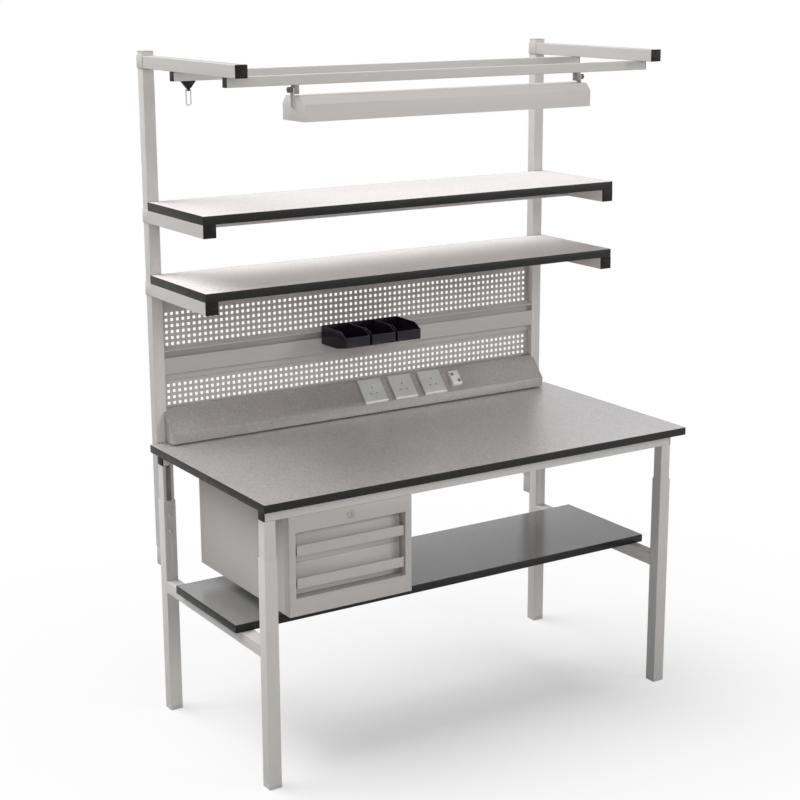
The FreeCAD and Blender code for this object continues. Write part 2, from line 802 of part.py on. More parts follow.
def make_trunking():
    """Trunking between the uprights, its sloping cover, outlets and data module."""
    sheet = trunking_sheet
    cover_path = [(trunking_back, trunking_z[1]), slope_head, slope_foot, (trunking_front, trunking_z[0]),
                  (trunking_front + trunking_return, trunking_z[0])]
    cover = folded_sheet(cover_path, sheet, bay)
    for middle in plate_middles():
        centre = plate_slope_start + plate_size / 2
        opening = socket_body + 2 * sheet
        hole = box(about(middle, opening), about(centre, opening), (-2 * sheet, sheet))
        cover = cover.cut(on_slope(hole))
    save("trunking_cover", [cover])
    floor_start = trunking_front + trunking_return
    floor = box(bay, (floor_start, trunking_back), (trunking_z[0], trunking_z[0] + sheet))
    inner_z = inset(trunking_z, sheet)
    inner_front = trunking_front + 2 * sheet
    back_face = trunking_back - sheet
    back = box(bay, (back_face, trunking_back), inner_z)
    inner = [(floor_start, inner_z[0]), (back_face, inner_z[0]), (back_face, inner_z[1]),
             (slope_head[0] + sheet, inner_z[1]), (inner_front, slope_foot[1]), (inner_front, inner_z[0])]
    end = prism(inner, (bay[0], bay[0] + sheet))
    cap = end_cover()
    save("trunking_body", [fused(floor, back, end, cap, mirrored(end), mirrored(cap))])
    save("socket_plates", [socket_plate(middle) for middle in plate_middles()])
    save("data_module", [data_module()])


# ---------------------------------------------------------------- drawer unit
def drawer_base(index):
    """The lowest Z of a drawer's front, counted from the top drawer."""
    return window_z[1] - drawer_gap - index * drawer_pitch - drawer_front_height


def runner_height_middle(index):
    """The Z of the middle of a drawer's runners."""
    return drawer_base(index) + drawer_box_lift + drawer_box_height / 2


def fixed_runner(index):
    """The channel of a left-hand runner with the packing that stands it off the cabinet's side."""
    x = (window_x[0] - 2 * cabinet_sheet, window_x[0] - 2 * cabinet_sheet + runner_width)
    y = (drawer_front_y + drawer_pan, drawer_front_y + drawer_pan + runner_length)
    middle = runner_height_middle(index)
    channel = box(x, y, about(middle, runner_height))
    inner_height = runner_height - 2 * cabinet_sheet
    channel = channel.cut(box(inset(x, cabinet_sheet), y, about(middle, inner_height)))
    mouth = (x[1] - cabinet_sheet, x[1])
    channel = channel.cut(box(mouth, y, about(middle, runner_mouth)))
    packings = []
    for step in range(packing_count):
        start = y[0] + step * (runner_length - packing_length) / (packing_count - 1)
        limits = (start, start + packing_length)
        packings.append(box((cabinet_x[0] + cabinet_sheet, x[0]), limits, about(middle, runner_mouth)))
    return fused(channel, *packings)


def moving_runner(index):
    """The bar that runs in the channel and carries the drawer."""
    start = window_x[0] + drawer_gap
    end = window_x[0] + runner_width - 3 * cabinet_sheet - runner_gap
    y = (drawer_front_y + drawer_pan, drawer_front_y + drawer_pan + runner_bar_length)
    middle = runner_height_middle(index)
    bar = box((start, end), y, about(middle, runner_height - 2 * cabinet_sheet - 2 * runner_gap))
    neck = box((end, drawer_box_x()[0]), y, about(middle, runner_mouth - 2 * runner_gap))
    return fused(bar, neck)


def drawer_box_x():
    """The X limits of a drawer's box, between its runners."""
    return inset(window_x, runner_width)


def across_cabinet(shape):
    """The shape reflected to the other side of the drawer unit."""
    middle = (cabinet_x[0] + cabinet_x[1]) / 2
    return shape.mirror(Vector(middle, 0, 0), X_AXIS)


def drawer_front(index):
    """A shallow pan with a full-width grip, open at its top, across its middle."""
    base = drawer_base(index)
    x = inset(window_x, drawer_gap)
    y = (drawer_front_y, drawer_front_y + drawer_pan)
    z = (base, base + drawer_front_height)
    hollow = box(inset(x, cabinet_sheet), (y[0] + cabinet_sheet, y[1]), inset(z, cabinet_sheet))
    pan = box(x, y, z).cut(hollow)
    foot_z = base + grip_lift
    front_y = cabinet_y[0] + grip_setback
    path = [(y[0], foot_z), (front_y, foot_z), (front_y, foot_z + grip_height)]
    grip = folded_sheet(path, -cabinet_sheet, inset(x, grip_end_gap))
    return fused(pan, grip)


def drawer_box(index):
    """The folded tray behind a drawer's front, with its two runner bars."""
    x = drawer_box_x()
    y = (drawer_front_y + drawer_pan, drawer_front_y + drawer_pan + drawer_box_length)
    low = drawer_base(index) + drawer_box_lift
    z = (low, low + drawer_box_height)
    sheet = cabinet_sheet
    tray = box(x, y, z).cut(box(inset(x, sheet), inset(y, sheet), (z[0] + sheet, z[1])))
    bar = moving_runner(index)
    return [tray, bar, across_cabinet(bar)]


def front_frame():
    """The cabinet's front: lock fascia, stiles and base panel round the drawers' window."""
    sheet = cabinet_sheet
    y = (cabinet_y[0], cabinet_y[0] + recess_depth)
    hollow_y = (y[0] + sheet, y[1])
    shape = box(cabinet_x, y, cabinet_z).cut(box(window_x, y, window_z))
    inner_x_limits = inset(cabinet_x, sheet)
    shape = shape.cut(box(inner_x_limits, hollow_y, (window_z[1] + sheet, cabinet_z[1] - sheet)))
    shape = shape.cut(box(inner_x_limits, hollow_y, (cabinet_z[0] + sheet, window_z[0] - sheet)))
    upright_z = (window_z[0] - 2 * sheet, window_z[1] + 2 * sheet)
    for x in ((cabinet_x[0] + sheet, window_x[0] - sheet), (window_x[1] + sheet, cabinet_x[1] - sheet)):
        shape = shape.cut(box(x, hollow_y, upright_z))
    place = lock_place()
    bezel = rod(lock_radius + lock_gap + lock_bezel, place, place - Y_AXIS * lock_bezel_height)
    start = place - Y_AXIS * 2 * lock_bezel_height
    passage = rod(lock_radius + lock_gap, start, place + Y_AXIS * 2 * sheet)
    return shape.fuse(bezel).cut(passage)


def lock_place():
    """The middle of the lock on the front of the fascia."""
    return Vector((cabinet_x[0] + cabinet_x[1]) / 2, cabinet_y[0], cabinet_z[1] - fascia / 2)


def lock_barrel():
    """The barrel with its key slot, and the cam on its tail."""
    place = lock_place()
    face = place - Y_AXIS * lock_bezel_height
    tail = place + Y_AXIS * lock_length
    shape = rod(lock_radius, face, tail)
    slot_y = (face.y, face.y + lock_bezel_height)
    shape = shape.cut(box(about(place.x, lock_key_slot), slot_y, about(place.z, lock_key_length)))
    cam_y = (tail.y, tail.y + cabinet_sheet)
    cam = box(about(place.x, lock_radius), cam_y, (place.z - lock_cam_length, place.z))
    return fused(shape, cam)


def make_cabinet():
    """The drawer unit: shell, front frame, hangers, runners, drawers and lock."""
    sheet = cabinet_sheet
    y = (drawer_front_y, cabinet_y[1])
    inner_x_limits = inset(cabinet_x, sheet)
    shell = []
    for x in ((cabinet_x[0], inner_x_limits[0]), (inner_x_limits[1], cabinet_x[1])):
        shell.append(box(x, y, cabinet_z))
    shell.append(box(inner_x_limits, y, (cabinet_z[0], cabinet_z[0] + sheet)))
    shell.append(box(inner_x_limits, y, (cabinet_z[1] - sheet, cabinet_z[1])))
    shell.append(box(inner_x_limits, (y[1] - sheet, y[1]), inset(cabinet_z, sheet)))
    save("cabinet_shell", shell)
    save("cabinet_front_frame", [front_frame()])
    hanger_y = (front_rail_y[1], cabinet_y[1])
    middle = (cabinet_x[0] + cabinet_x[1]) / 2
    hangers = []
    for sign in (-1, 1):
        x = about(middle + sign * hanger_spread, hanger_width)
        hangers.append(tube(x, hanger_y, (rail_bottom, board_bottom), Y_AXIS, rail_wall))
    save("cabinet_hangers", hangers)
    runners = []
    for index, name in enumerate(("upper", "lower")):
        runner = fixed_runner(index)
        runners.extend((runner, across_cabinet(runner)))
        save("drawer_%s_front" % name, [drawer_front(index)])
        save("drawer_%s_box" % name, drawer_box(index))
    save("drawer_runners", runners)
    save("lock_barrel", [lock_barrel()])


# ---------------------------------------------------------------- arms that clamp on the uprights
def arm(x, start_y, z):
    """A left-hand arm with the collar that slides on the upright."""
    beam = tube(x, (start_y, collar_y[0] + collar_wall), z, Y_AXIS, arm_wall)
    collar = rounded(box(collar_x, collar_y, z), Z_AXIS, tube_corner)
    passage = box(inset(collar_x, collar_wall), inset(collar_y, collar_wall), z)
    collar = collar.cut(rounded(passage, Z_AXIS, tube_corner / 2))
    place = clamp_screw_place(z)
    thread = rod(clamp_screw_radius, place, place - Y_AXIS * 2 * collar_wall)
    return fused(beam, collar.cut(thread))


def clamp_screw_place(z):
    """The middle of a collar's rear face, at the left."""
    return Vector((upright_x[0] + upright_x[1]) / 2, collar_y[1], (z[0] + z[1]) / 2)


def arm_pair(x, setback, z):
    """Both arms of a shelf or of the lamp frame, with their clamp screws, and their end plugs."""
    start = front + setback
    left = arm(x, start + plug_thickness, z)
    length = collar_wall + collar_gap - clamp_tip_gap
    place = clamp_screw_place(z)
    screw = bolt(hex_head_radius, clamp_head_height, clamp_screw_radius, place, -Y_AXIS, length, 6)
    plug = arm_plug(x, (start, start + plug_thickness), z)
    return [left, mirrored(left), screw, mirrored(screw)], [plug, mirrored(plug)]


def make_shelf(name, top):
    """One reagent shelf: arms, crossrail, board, edging and end plugs."""
    z = (top - shelf_thickness - arm_height, top - shelf_thickness)
    arms, plugs = arm_pair(collar_x, shelf_setback, z)
    rail_start = front + shelf_setback + cross_rail_setback
    rail_y = (rail_start, rail_start + cross_rail_width)
    arms.append(tube((collar_x[1], -collar_x[1]), rail_y, z, X_AXIS, arm_wall))
    save(name + "_frame", arms)
    save(name + "_end_plugs", plugs)
    board_x = (collar_x[0], -collar_x[0])
    board_y = (front + shelf_setback, upright_y[0] - shelf_rear_gap)
    board, strips = edged_board(board_x, board_y, (top - shelf_thickness, top))
    save(name + "_board", [board])
    save(name + "_edging", strips)


# ---------------------------------------------------------------- lamp frame, lamp and hook
def slotted_rail(middle_y):
    """A rail with a slot along its underside, fixed under the lamp arms."""
    x = inset(lamp_rail_x, lamp_rail_plug)
    shape = tube(x, about(middle_y, lamp_rail_width), lamp_rail_z, X_AXIS, lamp_rail_wall)
    slot_z = (lamp_rail_z[0], lamp_rail_z[0] + 2 * lamp_rail_wall)
    return shape.cut(box(x, about(middle_y, lamp_rail_slot), slot_z))


def rail_rider(x, middle_y):
    """The neck and head by which a carrier hangs in a slotted rail."""
    gap = carrier_gap
    neck_z = (lamp_rail_z[0] - gap, lamp_rail_z[0] + lamp_rail_wall + gap)
    neck = box(x, about(middle_y, lamp_rail_slot - 2 * gap), neck_z)
    head = box(x, about(middle_y, carrier_head), (neck_z[1], neck_z[1] + carrier_head_height))
    return fused(neck, head)


def make_lamp_frame():
    """Two arms and two slotted rails at the top of the uprights."""
    arms, plugs = arm_pair(upright_x, lamp_arm_setback, lamp_arm_z)
    head = (lamp_rail_x[0], lamp_rail_x[0] + lamp_rail_plug)
    for middle_y in (front_lamp_y, rear_lamp_y):
        plug = rail_plug(head, about(middle_y, lamp_rail_width), lamp_rail_z, lamp_rail_wall)
        plugs.extend((plug, mirrored(plug)))
    save("lamp_arms", arms)
    save("lamp_arm_end_plugs", plugs)
    save("lamp_rails", [slotted_rail(front_lamp_y), slotted_rail(rear_lamp_y)])


def lamp_profile(shrink):
    """The (y, z) outline of the lamp, drawn in by an amount."""
    half = lamp_width / 2 - shrink
    top_half = lamp_top_width / 2 - shrink
    base = lamp_top - lamp_height
    points = [(half, base), (half, base + lamp_side_height), (top_half, lamp_top - shrink),
              (-top_half, lamp_top - shrink), (-half, base + lamp_side_height), (-half, base)]
    return [(front_lamp_y + y, z) for y, z in points]


def lamp_block(shrink, x):
    """The lamp's outline drawn out along X, with its long corners rounded."""
    block = prism(lamp_profile(shrink), x)
    corners = []
    for edge in block.Edges:
        run = edge.Vertexes[-1].Point - edge.Vertexes[0].Point
        if abs(run.x) > run.Length / 2 and edge.CenterOfMass.z > lamp_top - lamp_height + 1:
            corners.append(edge)
    return block.makeFillet(max(lamp_round - shrink, 1), corners)


def lamp_ends():
    """Where the two end caps start and which way each faces."""
    return ((lamp_x[0], -1), (lamp_x[1], 1))


def end_cap(x, sign):
    """An end cap with the strap that hangs it on its pivot."""
    cap_x = (x, x + lamp_end_thickness) if sign < 0 else (x - lamp_end_thickness, x)
    cap = lamp_block(0, cap_x)
    strap_x = (x - strap_thickness, x) if sign < 0 else (x, x + strap_thickness)
    strap_z = (lamp_top - lamp_height / 2, pivot_z + strap_width / 2)
    strap = rounded(box(strap_x, about(front_lamp_y, strap_width), strap_z), X_AXIS, strap_width / 2 - 1)
    bore_start = Vector(strap_x[0] - 1, front_lamp_y, pivot_z)
    bore = rod(pivot_radius + pivot_clearance, bore_start, bore_start + X_AXIS * (strap_thickness + 2))
    return fused(cap, strap).cut(bore)


def carrier(x, sign):
    """The block that hangs in the front rail beside a strap; its pin passes through the strap."""
    inner = x - sign * (carrier_gap + carrier_width)
    outer = x - sign * carrier_gap
    limits = (min(inner, outer), max(inner, outer))
    z = (lamp_rail_z[0] - carrier_gap - carrier_height, lamp_rail_z[0] - carrier_gap)
    block = box(limits, about(front_lamp_y, carrier_depth), z)
    block = fused(block, rail_rider(limits, front_lamp_y))
    pin_start = Vector(x - sign * carrier_gap, front_lamp_y, pivot_z)
    pin_end = pin_start + X_AXIS * sign * (strap_thickness + 2 * carrier_gap + knob_length / 2)
    return fused(block, rod(pivot_radius, pin_start, pin_end))


def knob(x, sign):
    """A lobed clamp knob on the pin outside a strap."""
    start = Vector(x + sign * (strap_thickness + carrier_gap), front_lamp_y, pivot_z)
    shape = rod(knob_radius, start, start + X_AXIS * sign * knob_length)
    for lobe in range(knob_lobes):
        turn = FreeCAD.Rotation(X_AXIS, 360.0 * lobe / knob_lobes)
        place = start + turn.multVec(Vector(0, 0, knob_radius + knob_lobe_radius / 2))
        shape = shape.cut(rod(knob_lobe_radius, place, place + X_AXIS * sign * knob_length))
    depth = X_AXIS * sign * (knob_length / 2 + 2 * carrier_gap)
    return shape.cut(rod(pivot_radius + pivot_clearance, start, start + depth))


def make_lamp():
    """Housing, end caps, diffuser, tubes, carriers and knobs."""
    inner_x_limits = inset(lamp_x, lamp_end_thickness)
    base = lamp_top - lamp_height
    housing = lamp_block(0, inner_x_limits).cut(lamp_block(lamp_sheet, inner_x_limits))
    save("lamp_housing", [housing])
    save("lamp_end_caps", [end_cap(x, sign) for x, sign in lamp_ends()])
    plate_y = about(front_lamp_y, lamp_width - 2 * lamp_sheet)
    plate_z = (base + diffuser_recess, base + diffuser_recess + diffuser_thickness)
    save("lamp_diffuser", [box(inner_x_limits, plate_y, plate_z)])
    tubes = []
    for sign in (-1, 1):
        y = front_lamp_y + sign * lamp_tube_spread
        z = lamp_top - lamp_tube_drop
        holders = inset(inner_x_limits, lamp_holder)
        ends = (Vector(holders[0], y, z), Vector(holders[1], y, z))
        tubes.append(rod(lamp_tube_radius, *ends).cut(rod(lamp_tube_radius - lamp_tube_wall, *ends)))
        for limits in ((inner_x_limits[0], holders[0]), (holders[1], inner_x_limits[1])):
            holder_z = (z - lamp_tube_radius, lamp_top - lamp_sheet)
            tubes.append(box(limits, about(y, 2 * lamp_tube_radius), holder_z))
    save("lamp_tubes", tubes)
    save("lamp_carriers", [carrier(x, sign) for x, sign in lamp_ends()])
    for name, (x, sign) in zip(("left", "right"), lamp_ends()):
        save("lamp_knob_" + name, [knob(x, sign)])


def hook_bar_z():
    """The height of the bar that the hook swings on."""
    return lamp_rail_z[0] - carrier_gap - trolley_height - trolley_tab / 2


def make_hook():
    """The trolley in the rear rail and the wire loop that hangs from it."""
    top = lamp_rail_z[0] - carrier_gap
    half = trolley_top_width / 2
    foot_half = trolley_foot_width / 2
    bottom = top - trolley_height
    corners = [(-half, top), (half, top), (half, top - hook_wire),
               (foot_half, bottom), (-foot_half, bottom), (-half, top - hook_wire)]
    points = [Vector(hook_x + x, rear_lamp_y - trolley_depth / 2, z) for x, z in corners]
    body = Part.Face(Part.makePolygon(points + points[:1])).extrude(Vector(0, trolley_depth, 0))
    tab_z = (bottom - trolley_tab, bottom)
    tab = box(about(hook_x, trolley_tab), about(rear_lamp_y, trolley_tab_depth), tab_z)
    bar_z = hook_bar_z()
    start = Vector(hook_x - trolley_tab, rear_lamp_y, bar_z)
    bore = rod(hook_wire + hook_bar_gap, start, start + X_AXIS * 2 * trolley_tab)
    rider = rail_rider(about(hook_x, trolley_top_width - trolley_tab), rear_lamp_y)
    save("hook_trolley", [fused(body, tab, rider).cut(bore)])

    bend = hook_width / 2
    low = bar_z - hook_length + bend
    left = Vector(hook_x - bend, rear_lamp_y, bar_z)
    right = Vector(hook_x + bend, rear_lamp_y, bar_z)
    left_foot = Vector(hook_x - bend, rear_lamp_y, low)
    right_foot = Vector(hook_x + bend, rear_lamp_y, low)
    bow = Part.makeTorus(bend, hook_wire, Vector(hook_x, rear_lamp_y, low), Y_AXIS, 0, 360, 360)
    keep = box(about(hook_x, 4 * bend), about(rear_lamp_y, 4 * hook_wire), (low - 2 * bend, low))
    pieces = [rod(hook_wire, left, right), rod(hook_wire, left, left_foot)]
    pieces.append(rod(hook_wire, right, right_foot))
    for corner in (left, right):
        pieces.append(Part.makeSphere(hook_wire, corner))
    save("hook_loop", [fused(bow.common(keep), *pieces)])


os.makedirs("parts", exist_ok=True)
make_base()
make_underframe()
make_worktop()
make_uprights()
make_panels()
make_bins()
make_trunking()
make_cabinet()
make_shelf("shelf_upper", upper_shelf_top)
make_shelf("shelf_lower", lower_reagent_top)
make_lamp_frame()
make_lamp()
make_hook()
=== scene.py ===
"""Dressed model of a height-adjustable laboratory bench with reagent shelves.

Metres, +Z up, +X to the right of the person at the bench, -Y towards them.  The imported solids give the
sizes and places.  The classes below dress them, build the pieces that need finer forms, and set the stage.
"""

from __future__ import annotations

import logging
import math
from collections.abc import Sequence
from dataclasses import dataclass, field
from enum import Enum
from functools import cache

import bmesh
import bpy
from mathutils import Matrix, Vector

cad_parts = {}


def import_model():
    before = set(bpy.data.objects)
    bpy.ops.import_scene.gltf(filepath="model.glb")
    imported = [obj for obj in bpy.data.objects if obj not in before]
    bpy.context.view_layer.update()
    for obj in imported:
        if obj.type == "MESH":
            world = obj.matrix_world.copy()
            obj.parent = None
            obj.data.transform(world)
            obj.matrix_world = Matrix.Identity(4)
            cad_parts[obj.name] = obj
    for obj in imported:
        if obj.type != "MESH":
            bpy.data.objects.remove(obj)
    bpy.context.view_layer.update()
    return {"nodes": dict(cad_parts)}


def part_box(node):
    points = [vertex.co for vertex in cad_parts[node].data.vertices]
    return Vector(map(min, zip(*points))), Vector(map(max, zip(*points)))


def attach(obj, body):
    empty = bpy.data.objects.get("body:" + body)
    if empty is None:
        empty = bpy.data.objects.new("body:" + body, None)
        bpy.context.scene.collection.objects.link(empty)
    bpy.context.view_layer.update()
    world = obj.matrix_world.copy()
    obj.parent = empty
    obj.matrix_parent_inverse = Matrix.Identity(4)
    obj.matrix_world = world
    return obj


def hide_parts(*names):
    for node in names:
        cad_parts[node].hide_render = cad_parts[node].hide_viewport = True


log = logging.getLogger("bench")

MM = 0.001
ON_AXIS = 1e-9
WELD = 1e-6
ROUNDED_FROM = math.radians(35.0)
WHITE = (1.0, 1.0, 1.0)
Pair = tuple[float, float]
Triple = tuple[float, float, float]
Outline = Sequence[Pair]
Mesh = bmesh.types.BMesh
Socket = bpy.types.NodeSocket
Material = bpy.types.Material
Thing = bpy.types.Object


# ---- node trees
class Tree:
    """A node tree, with one short call to add a wired node."""

    def __init__(self, tree: bpy.types.NodeTree) -> None:
        """Work on a tree."""
        self.tree = tree

    def feed(self, socket: Socket, value: object) -> None:
        """Give a socket a constant or the output of other nodes.

        Args:
            socket: the input socket.
            value: an output socket, a list of them, or a plain value, which for a colour has no alpha.
        """
        if isinstance(value, (list, Socket)):
            for source in value if isinstance(value, list) else [value]:
                self.tree.links.new(source, socket)
        else:
            socket.default_value = (*value, 1.0) if socket.type == "RGBA" else value

    def add(self, kind: str, output: str | int | None, inputs: dict[str | int, object] | None = None,
            **settings: object) -> Socket | None:
        """Add a node.

        Args:
            kind: the node's type.
            output: the output that is wanted, if any.
            inputs: what each of its inputs gets.
            settings: its own properties, which are set first.

        Returns:
            The output socket.
        """
        node = self.tree.nodes.new(kind)
        for name, value in settings.items():
            setattr(node, name, value)
        for key, value in (inputs or {}).items():
            self.feed(node.inputs[key], value)
        return None if output is None else node.outputs[output]

    def maths(self, operation: str, first: object, second: object) -> Socket:
        """The result of one arithmetic step on two values."""
        return self.add("ShaderNodeMath", 0, {0: first, 1: second}, operation=operation)

    def seen_directly(self) -> Socket:
        """1 for rays that the camera, a reflection or a clear sheet sends, and 0 for light that bounces about."""
        path = self.tree.nodes.new("ShaderNodeLightPath").outputs
        return self.maths("MAXIMUM", self.maths("MAXIMUM", path["Is Camera Ray"], path["Is Glossy Ray"]),
                          path["Is Transmission Ray"])


class Shader(Tree):
    """A material's node tree, with short calls for the textures that the finishes share."""

    def __init__(self, name: str) -> None:
        """Start a material.

        Args:
            name: the material's name.
        """
        self.material = bpy.data.materials.new(name)
        self.material.use_nodes = True
        super().__init__(self.material.node_tree)
        self.tree.nodes.clear()
        self.place = self.add("ShaderNodeTexCoord", "Object")

    def noise(self, scale: float, detail: float = 2.0, stretch: Triple | None = None) -> Socket:
        """Soft noise, for a number of features per metre, stretched by another amount along each axis."""
        place = (self.add("ShaderNodeMapping", "Vector", {"Vector": self.place, "Scale": stretch}) if stretch
                 else self.place)
        return self.add("ShaderNodeTexNoise", "Fac", {"Vector": place, "Scale": scale, "Detail": detail})

    def cells(self, scale: float) -> Socket:
        """A random value in each cell, for a number of cells per metre."""
        return self.add("ShaderNodeTexVoronoi", "Color", {"Vector": self.place, "Scale": scale})

    def spots(self, scale: float, test: str, edge: float, share: float) -> Socket:
        """A share in the cells whose value passes a test against an edge, and 0 in the others."""
        return self.maths("MULTIPLY", self.maths(test, self.cells(scale), edge), share)

    def span(self, value: Socket, source: Pair, target: Pair) -> Socket:
        """A value mapped from one range to another, held at its ends."""
        ends = dict(zip(("From Min", "From Max", "To Min", "To Max"), (*source, *target)))
        return self.add("ShaderNodeMapRange", "Result", {"Value": value, **ends})

    def blend(self, factor: object, first: object, second: object) -> Socket:
        """Two colours mixed: 0 gives the first, 1 the second."""
        return self.add("ShaderNodeMix", "Result", {"Factor": factor, "A": first, "B": second}, data_type="RGBA")

    def bump(self, height: Socket, strength: float, distance: float, under: Socket | None = None) -> Socket:
        """A shading normal from a height whose full step is a distance in metres, over a coarser normal."""
        inputs = {"Strength": strength, "Distance": distance, "Height": height}
        return self.add("ShaderNodeBump", "Normal", inputs if under is None else {**inputs, "Normal": under})

    def finished(self, surface: Socket) -> Material:
        """The material, with a surface wired to its output."""
        self.add("ShaderNodeOutputMaterial", None, {"Surface": surface})
        return self.material

    def principled(self, **values: object) -> Material:
        """The material, with a Principled shader whose sockets are named with _ for a space."""
        inputs = {name.replace("_", " "): value for name, value in values.items()}
        return self.finished(self.add("ShaderNodeBsdfPrincipled", "BSDF", inputs))


def shade(colour: Triple, amount: float) -> Triple:
    """A colour made lighter or darker by a factor."""
    return tuple(min(1.0, part * amount) for part in colour)


# ---- finishes
@dataclass(frozen=True)
class Surface:
    """What every finish has.  Its slot in the record is named only where it differs from the finish; it is not used."""

    name: str
    colour: Triple
    roughness: float = 0.46
    specular: float = 0.5
    slot: str = ""


@dataclass(frozen=True)
class PowderCoat(Surface):
    """Baked powder coat on sheet steel: orange peel, fine grain, faint handling marks."""

    speckle: float = 0.0
    fleck_scale: float = 270.0
    glint_scale: float = 330.0
    peel_scale: float = 360.0
    grain_scale: float = 1300.0

    def build(self) -> Material:
        """Build the material.

        Returns:
            The material.
        """
        shader = Shader(self.name)
        colour = shader.blend(shader.noise(4.0, 3.0), shade(self.colour, 0.985), shade(self.colour, 1.015))
        if self.speckle:
            fleck = shader.span(shader.cells(self.fleck_scale), (0.25, 0.75), (0.0, 0.6))
            colour = shader.blend(fleck, colour, shade(self.colour, 1.0 - self.speckle))
            glint = shader.spots(self.glint_scale, "GREATER_THAN", 0.80, 0.35)
            colour = shader.blend(glint, colour, shade(self.colour, 1.4))
        rub = shader.span(shader.noise(9.0, 5.0, (1.0, 1.0, 0.25)), (0.63, 0.75), (0.0, 0.05))
        colour = shader.blend(rub, colour, shade(self.colour, 0.72))
        gloss = shader.span(shader.noise(38.0, 3.0), (0.3, 0.7), (self.roughness - 0.015, self.roughness + 0.02))
        peel = shader.bump(shader.noise(self.peel_scale, 1.0), 0.25, 0.03 * MM)
        grain = shader.bump(shader.noise(self.grain_scale), 0.35, 0.02 * MM, peel)
        return shader.principled(Base_Color=colour, Roughness=gloss, Normal=grain, Specular_IOR_Level=self.specular)


@dataclass(frozen=True)
class Laminate(Surface):
    """Melamine facing on board: a printed fleck under a clear, slightly pitted skin."""

    fleck: float = 0.0
    fleck_scale: float = 250.0
    pit_scale: float = 900.0
    skin: float = 0.0
    skin_roughness: float = 0.12
    skin_index: float = 1.5

    def build(self) -> Material:
        """Build the material.

        Returns:
            The material.
        """
        shader = Shader(self.name)
        printed = shader.span(shader.cells(self.fleck_scale), (0.15, 0.85), (0.0, 1.0))
        colour = shader.blend(printed, shade(self.colour, 1.0 - self.fleck), shade(self.colour, 1.0 + self.fleck * 0.6))
        for size, test, edge, share, change in ((0.62, "GREATER_THAN", 0.80, 0.55, -1.6),
                                                (0.83, "LESS_THAN", 0.20, 0.50, 1.1)):
            spots = shader.spots(self.fleck_scale * size, test, edge, share)
            colour = shader.blend(spots, colour, shade(self.colour, 1.0 + change * self.fleck))
        cloud = shader.span(shader.noise(2.3, 3.0), (0.3, 0.7), (0.0, 0.04))
        colour = shader.blend(cloud, colour, shade(self.colour, 0.85))
        gloss = shader.span(shader.noise(60.0, 4.0), (0.35, 0.7), (self.roughness - 0.02, self.roughness + 0.04))
        pits = shader.bump(shader.noise(self.pit_scale), 0.20, 0.05 * MM)
        return shader.principled(Base_Color=colour, Roughness=gloss, Normal=pits, Specular_IOR_Level=self.specular,
                                 Coat_Weight=self.skin, Coat_Roughness=self.skin_roughness, Coat_IOR=self.skin_index)


@dataclass(frozen=True)
class MouldedPlastic(Surface):
    """Moulded or extruded plastic with a spark-eroded grain and a little dust."""

    grain_scale: float = 1500.0
    depth: float = 0.06 * MM
    dust: float = 0.04
    dust_colour: Triple = (0.42, 0.41, 0.40)
    streak: Triple = (1.0, 1.0, 1.0)
    mottle: float = 0.05

    def build(self) -> Material:
        """Build the material.

        Returns:
            The material.
        """
        shader = Shader(self.name)
        flow = shader.noise(14.0, 4.0, self.streak)
        colour = shader.blend(flow, shade(self.colour, 0.85), shade(self.colour, 1.18))
        dust = shader.span(shader.noise(70.0, 6.0), (0.56, 0.75), (0.0, self.dust))
        colour = shader.blend(dust, colour, self.dust_colour)
        levels = (self.roughness - self.mottle, self.roughness + self.mottle)
        gloss = shader.span(shader.noise(45.0, 4.0), (0.3, 0.7), levels)
        grain = shader.bump(shader.noise(self.grain_scale), 0.4, self.depth)
        return shader.principled(Base_Color=colour, Roughness=gloss, Normal=grain, Specular_IOR_Level=self.specular)


@dataclass(frozen=True)
class PlatedMetal(Surface):
    """Zinc or nickel plate with a faint brushed line and uneven tone."""

    line_scale: float = 700.0

    def build(self) -> Material:
        """Build the material.

        Returns:
            The material.
        """
        shader = Shader(self.name)
        tone = shader.blend(shader.noise(30.0, 4.0), shade(self.colour, 0.82), shade(self.colour, 1.12))
        lines = shader.noise(self.line_scale, 2.0, (0.08, 1.0, 1.0))
        gloss = shader.span(lines, (0.3, 0.7), (self.roughness - 0.06, self.roughness + 0.10))
        return shader.principled(Base_Color=tone, Roughness=gloss, Normal=shader.bump(lines, 0.15, 0.02 * MM),
                                 Metallic=1.0)


@dataclass(frozen=True)
class OpalSheet(Surface):
    """A faintly ribbed opal sheet that closes a lamp."""

    rib: float = 4.0 * MM
    depth: float = 0.2 * MM
    scatter: float = 0.03

    def build(self) -> Material:
        """Build the material.

        Returns:
            The material.
        """
        shader = Shader(self.name)
        wave = shader.add("ShaderNodeTexWave", "Fac", {"Vector": shader.place, "Scale": 0.31 / self.rib},
                          bands_direction="Y")
        tone = shader.blend(shader.noise(6.0), shade(self.colour, 0.99), self.colour)
        gloss = shader.span(shader.noise(50.0, 3.0), (0.3, 0.7), (self.roughness, self.roughness + 0.03))
        return shader.principled(Base_Color=tone, Roughness=gloss, Normal=shader.bump(wave, 0.08, self.depth),
                                 Subsurface_Weight=self.scatter)


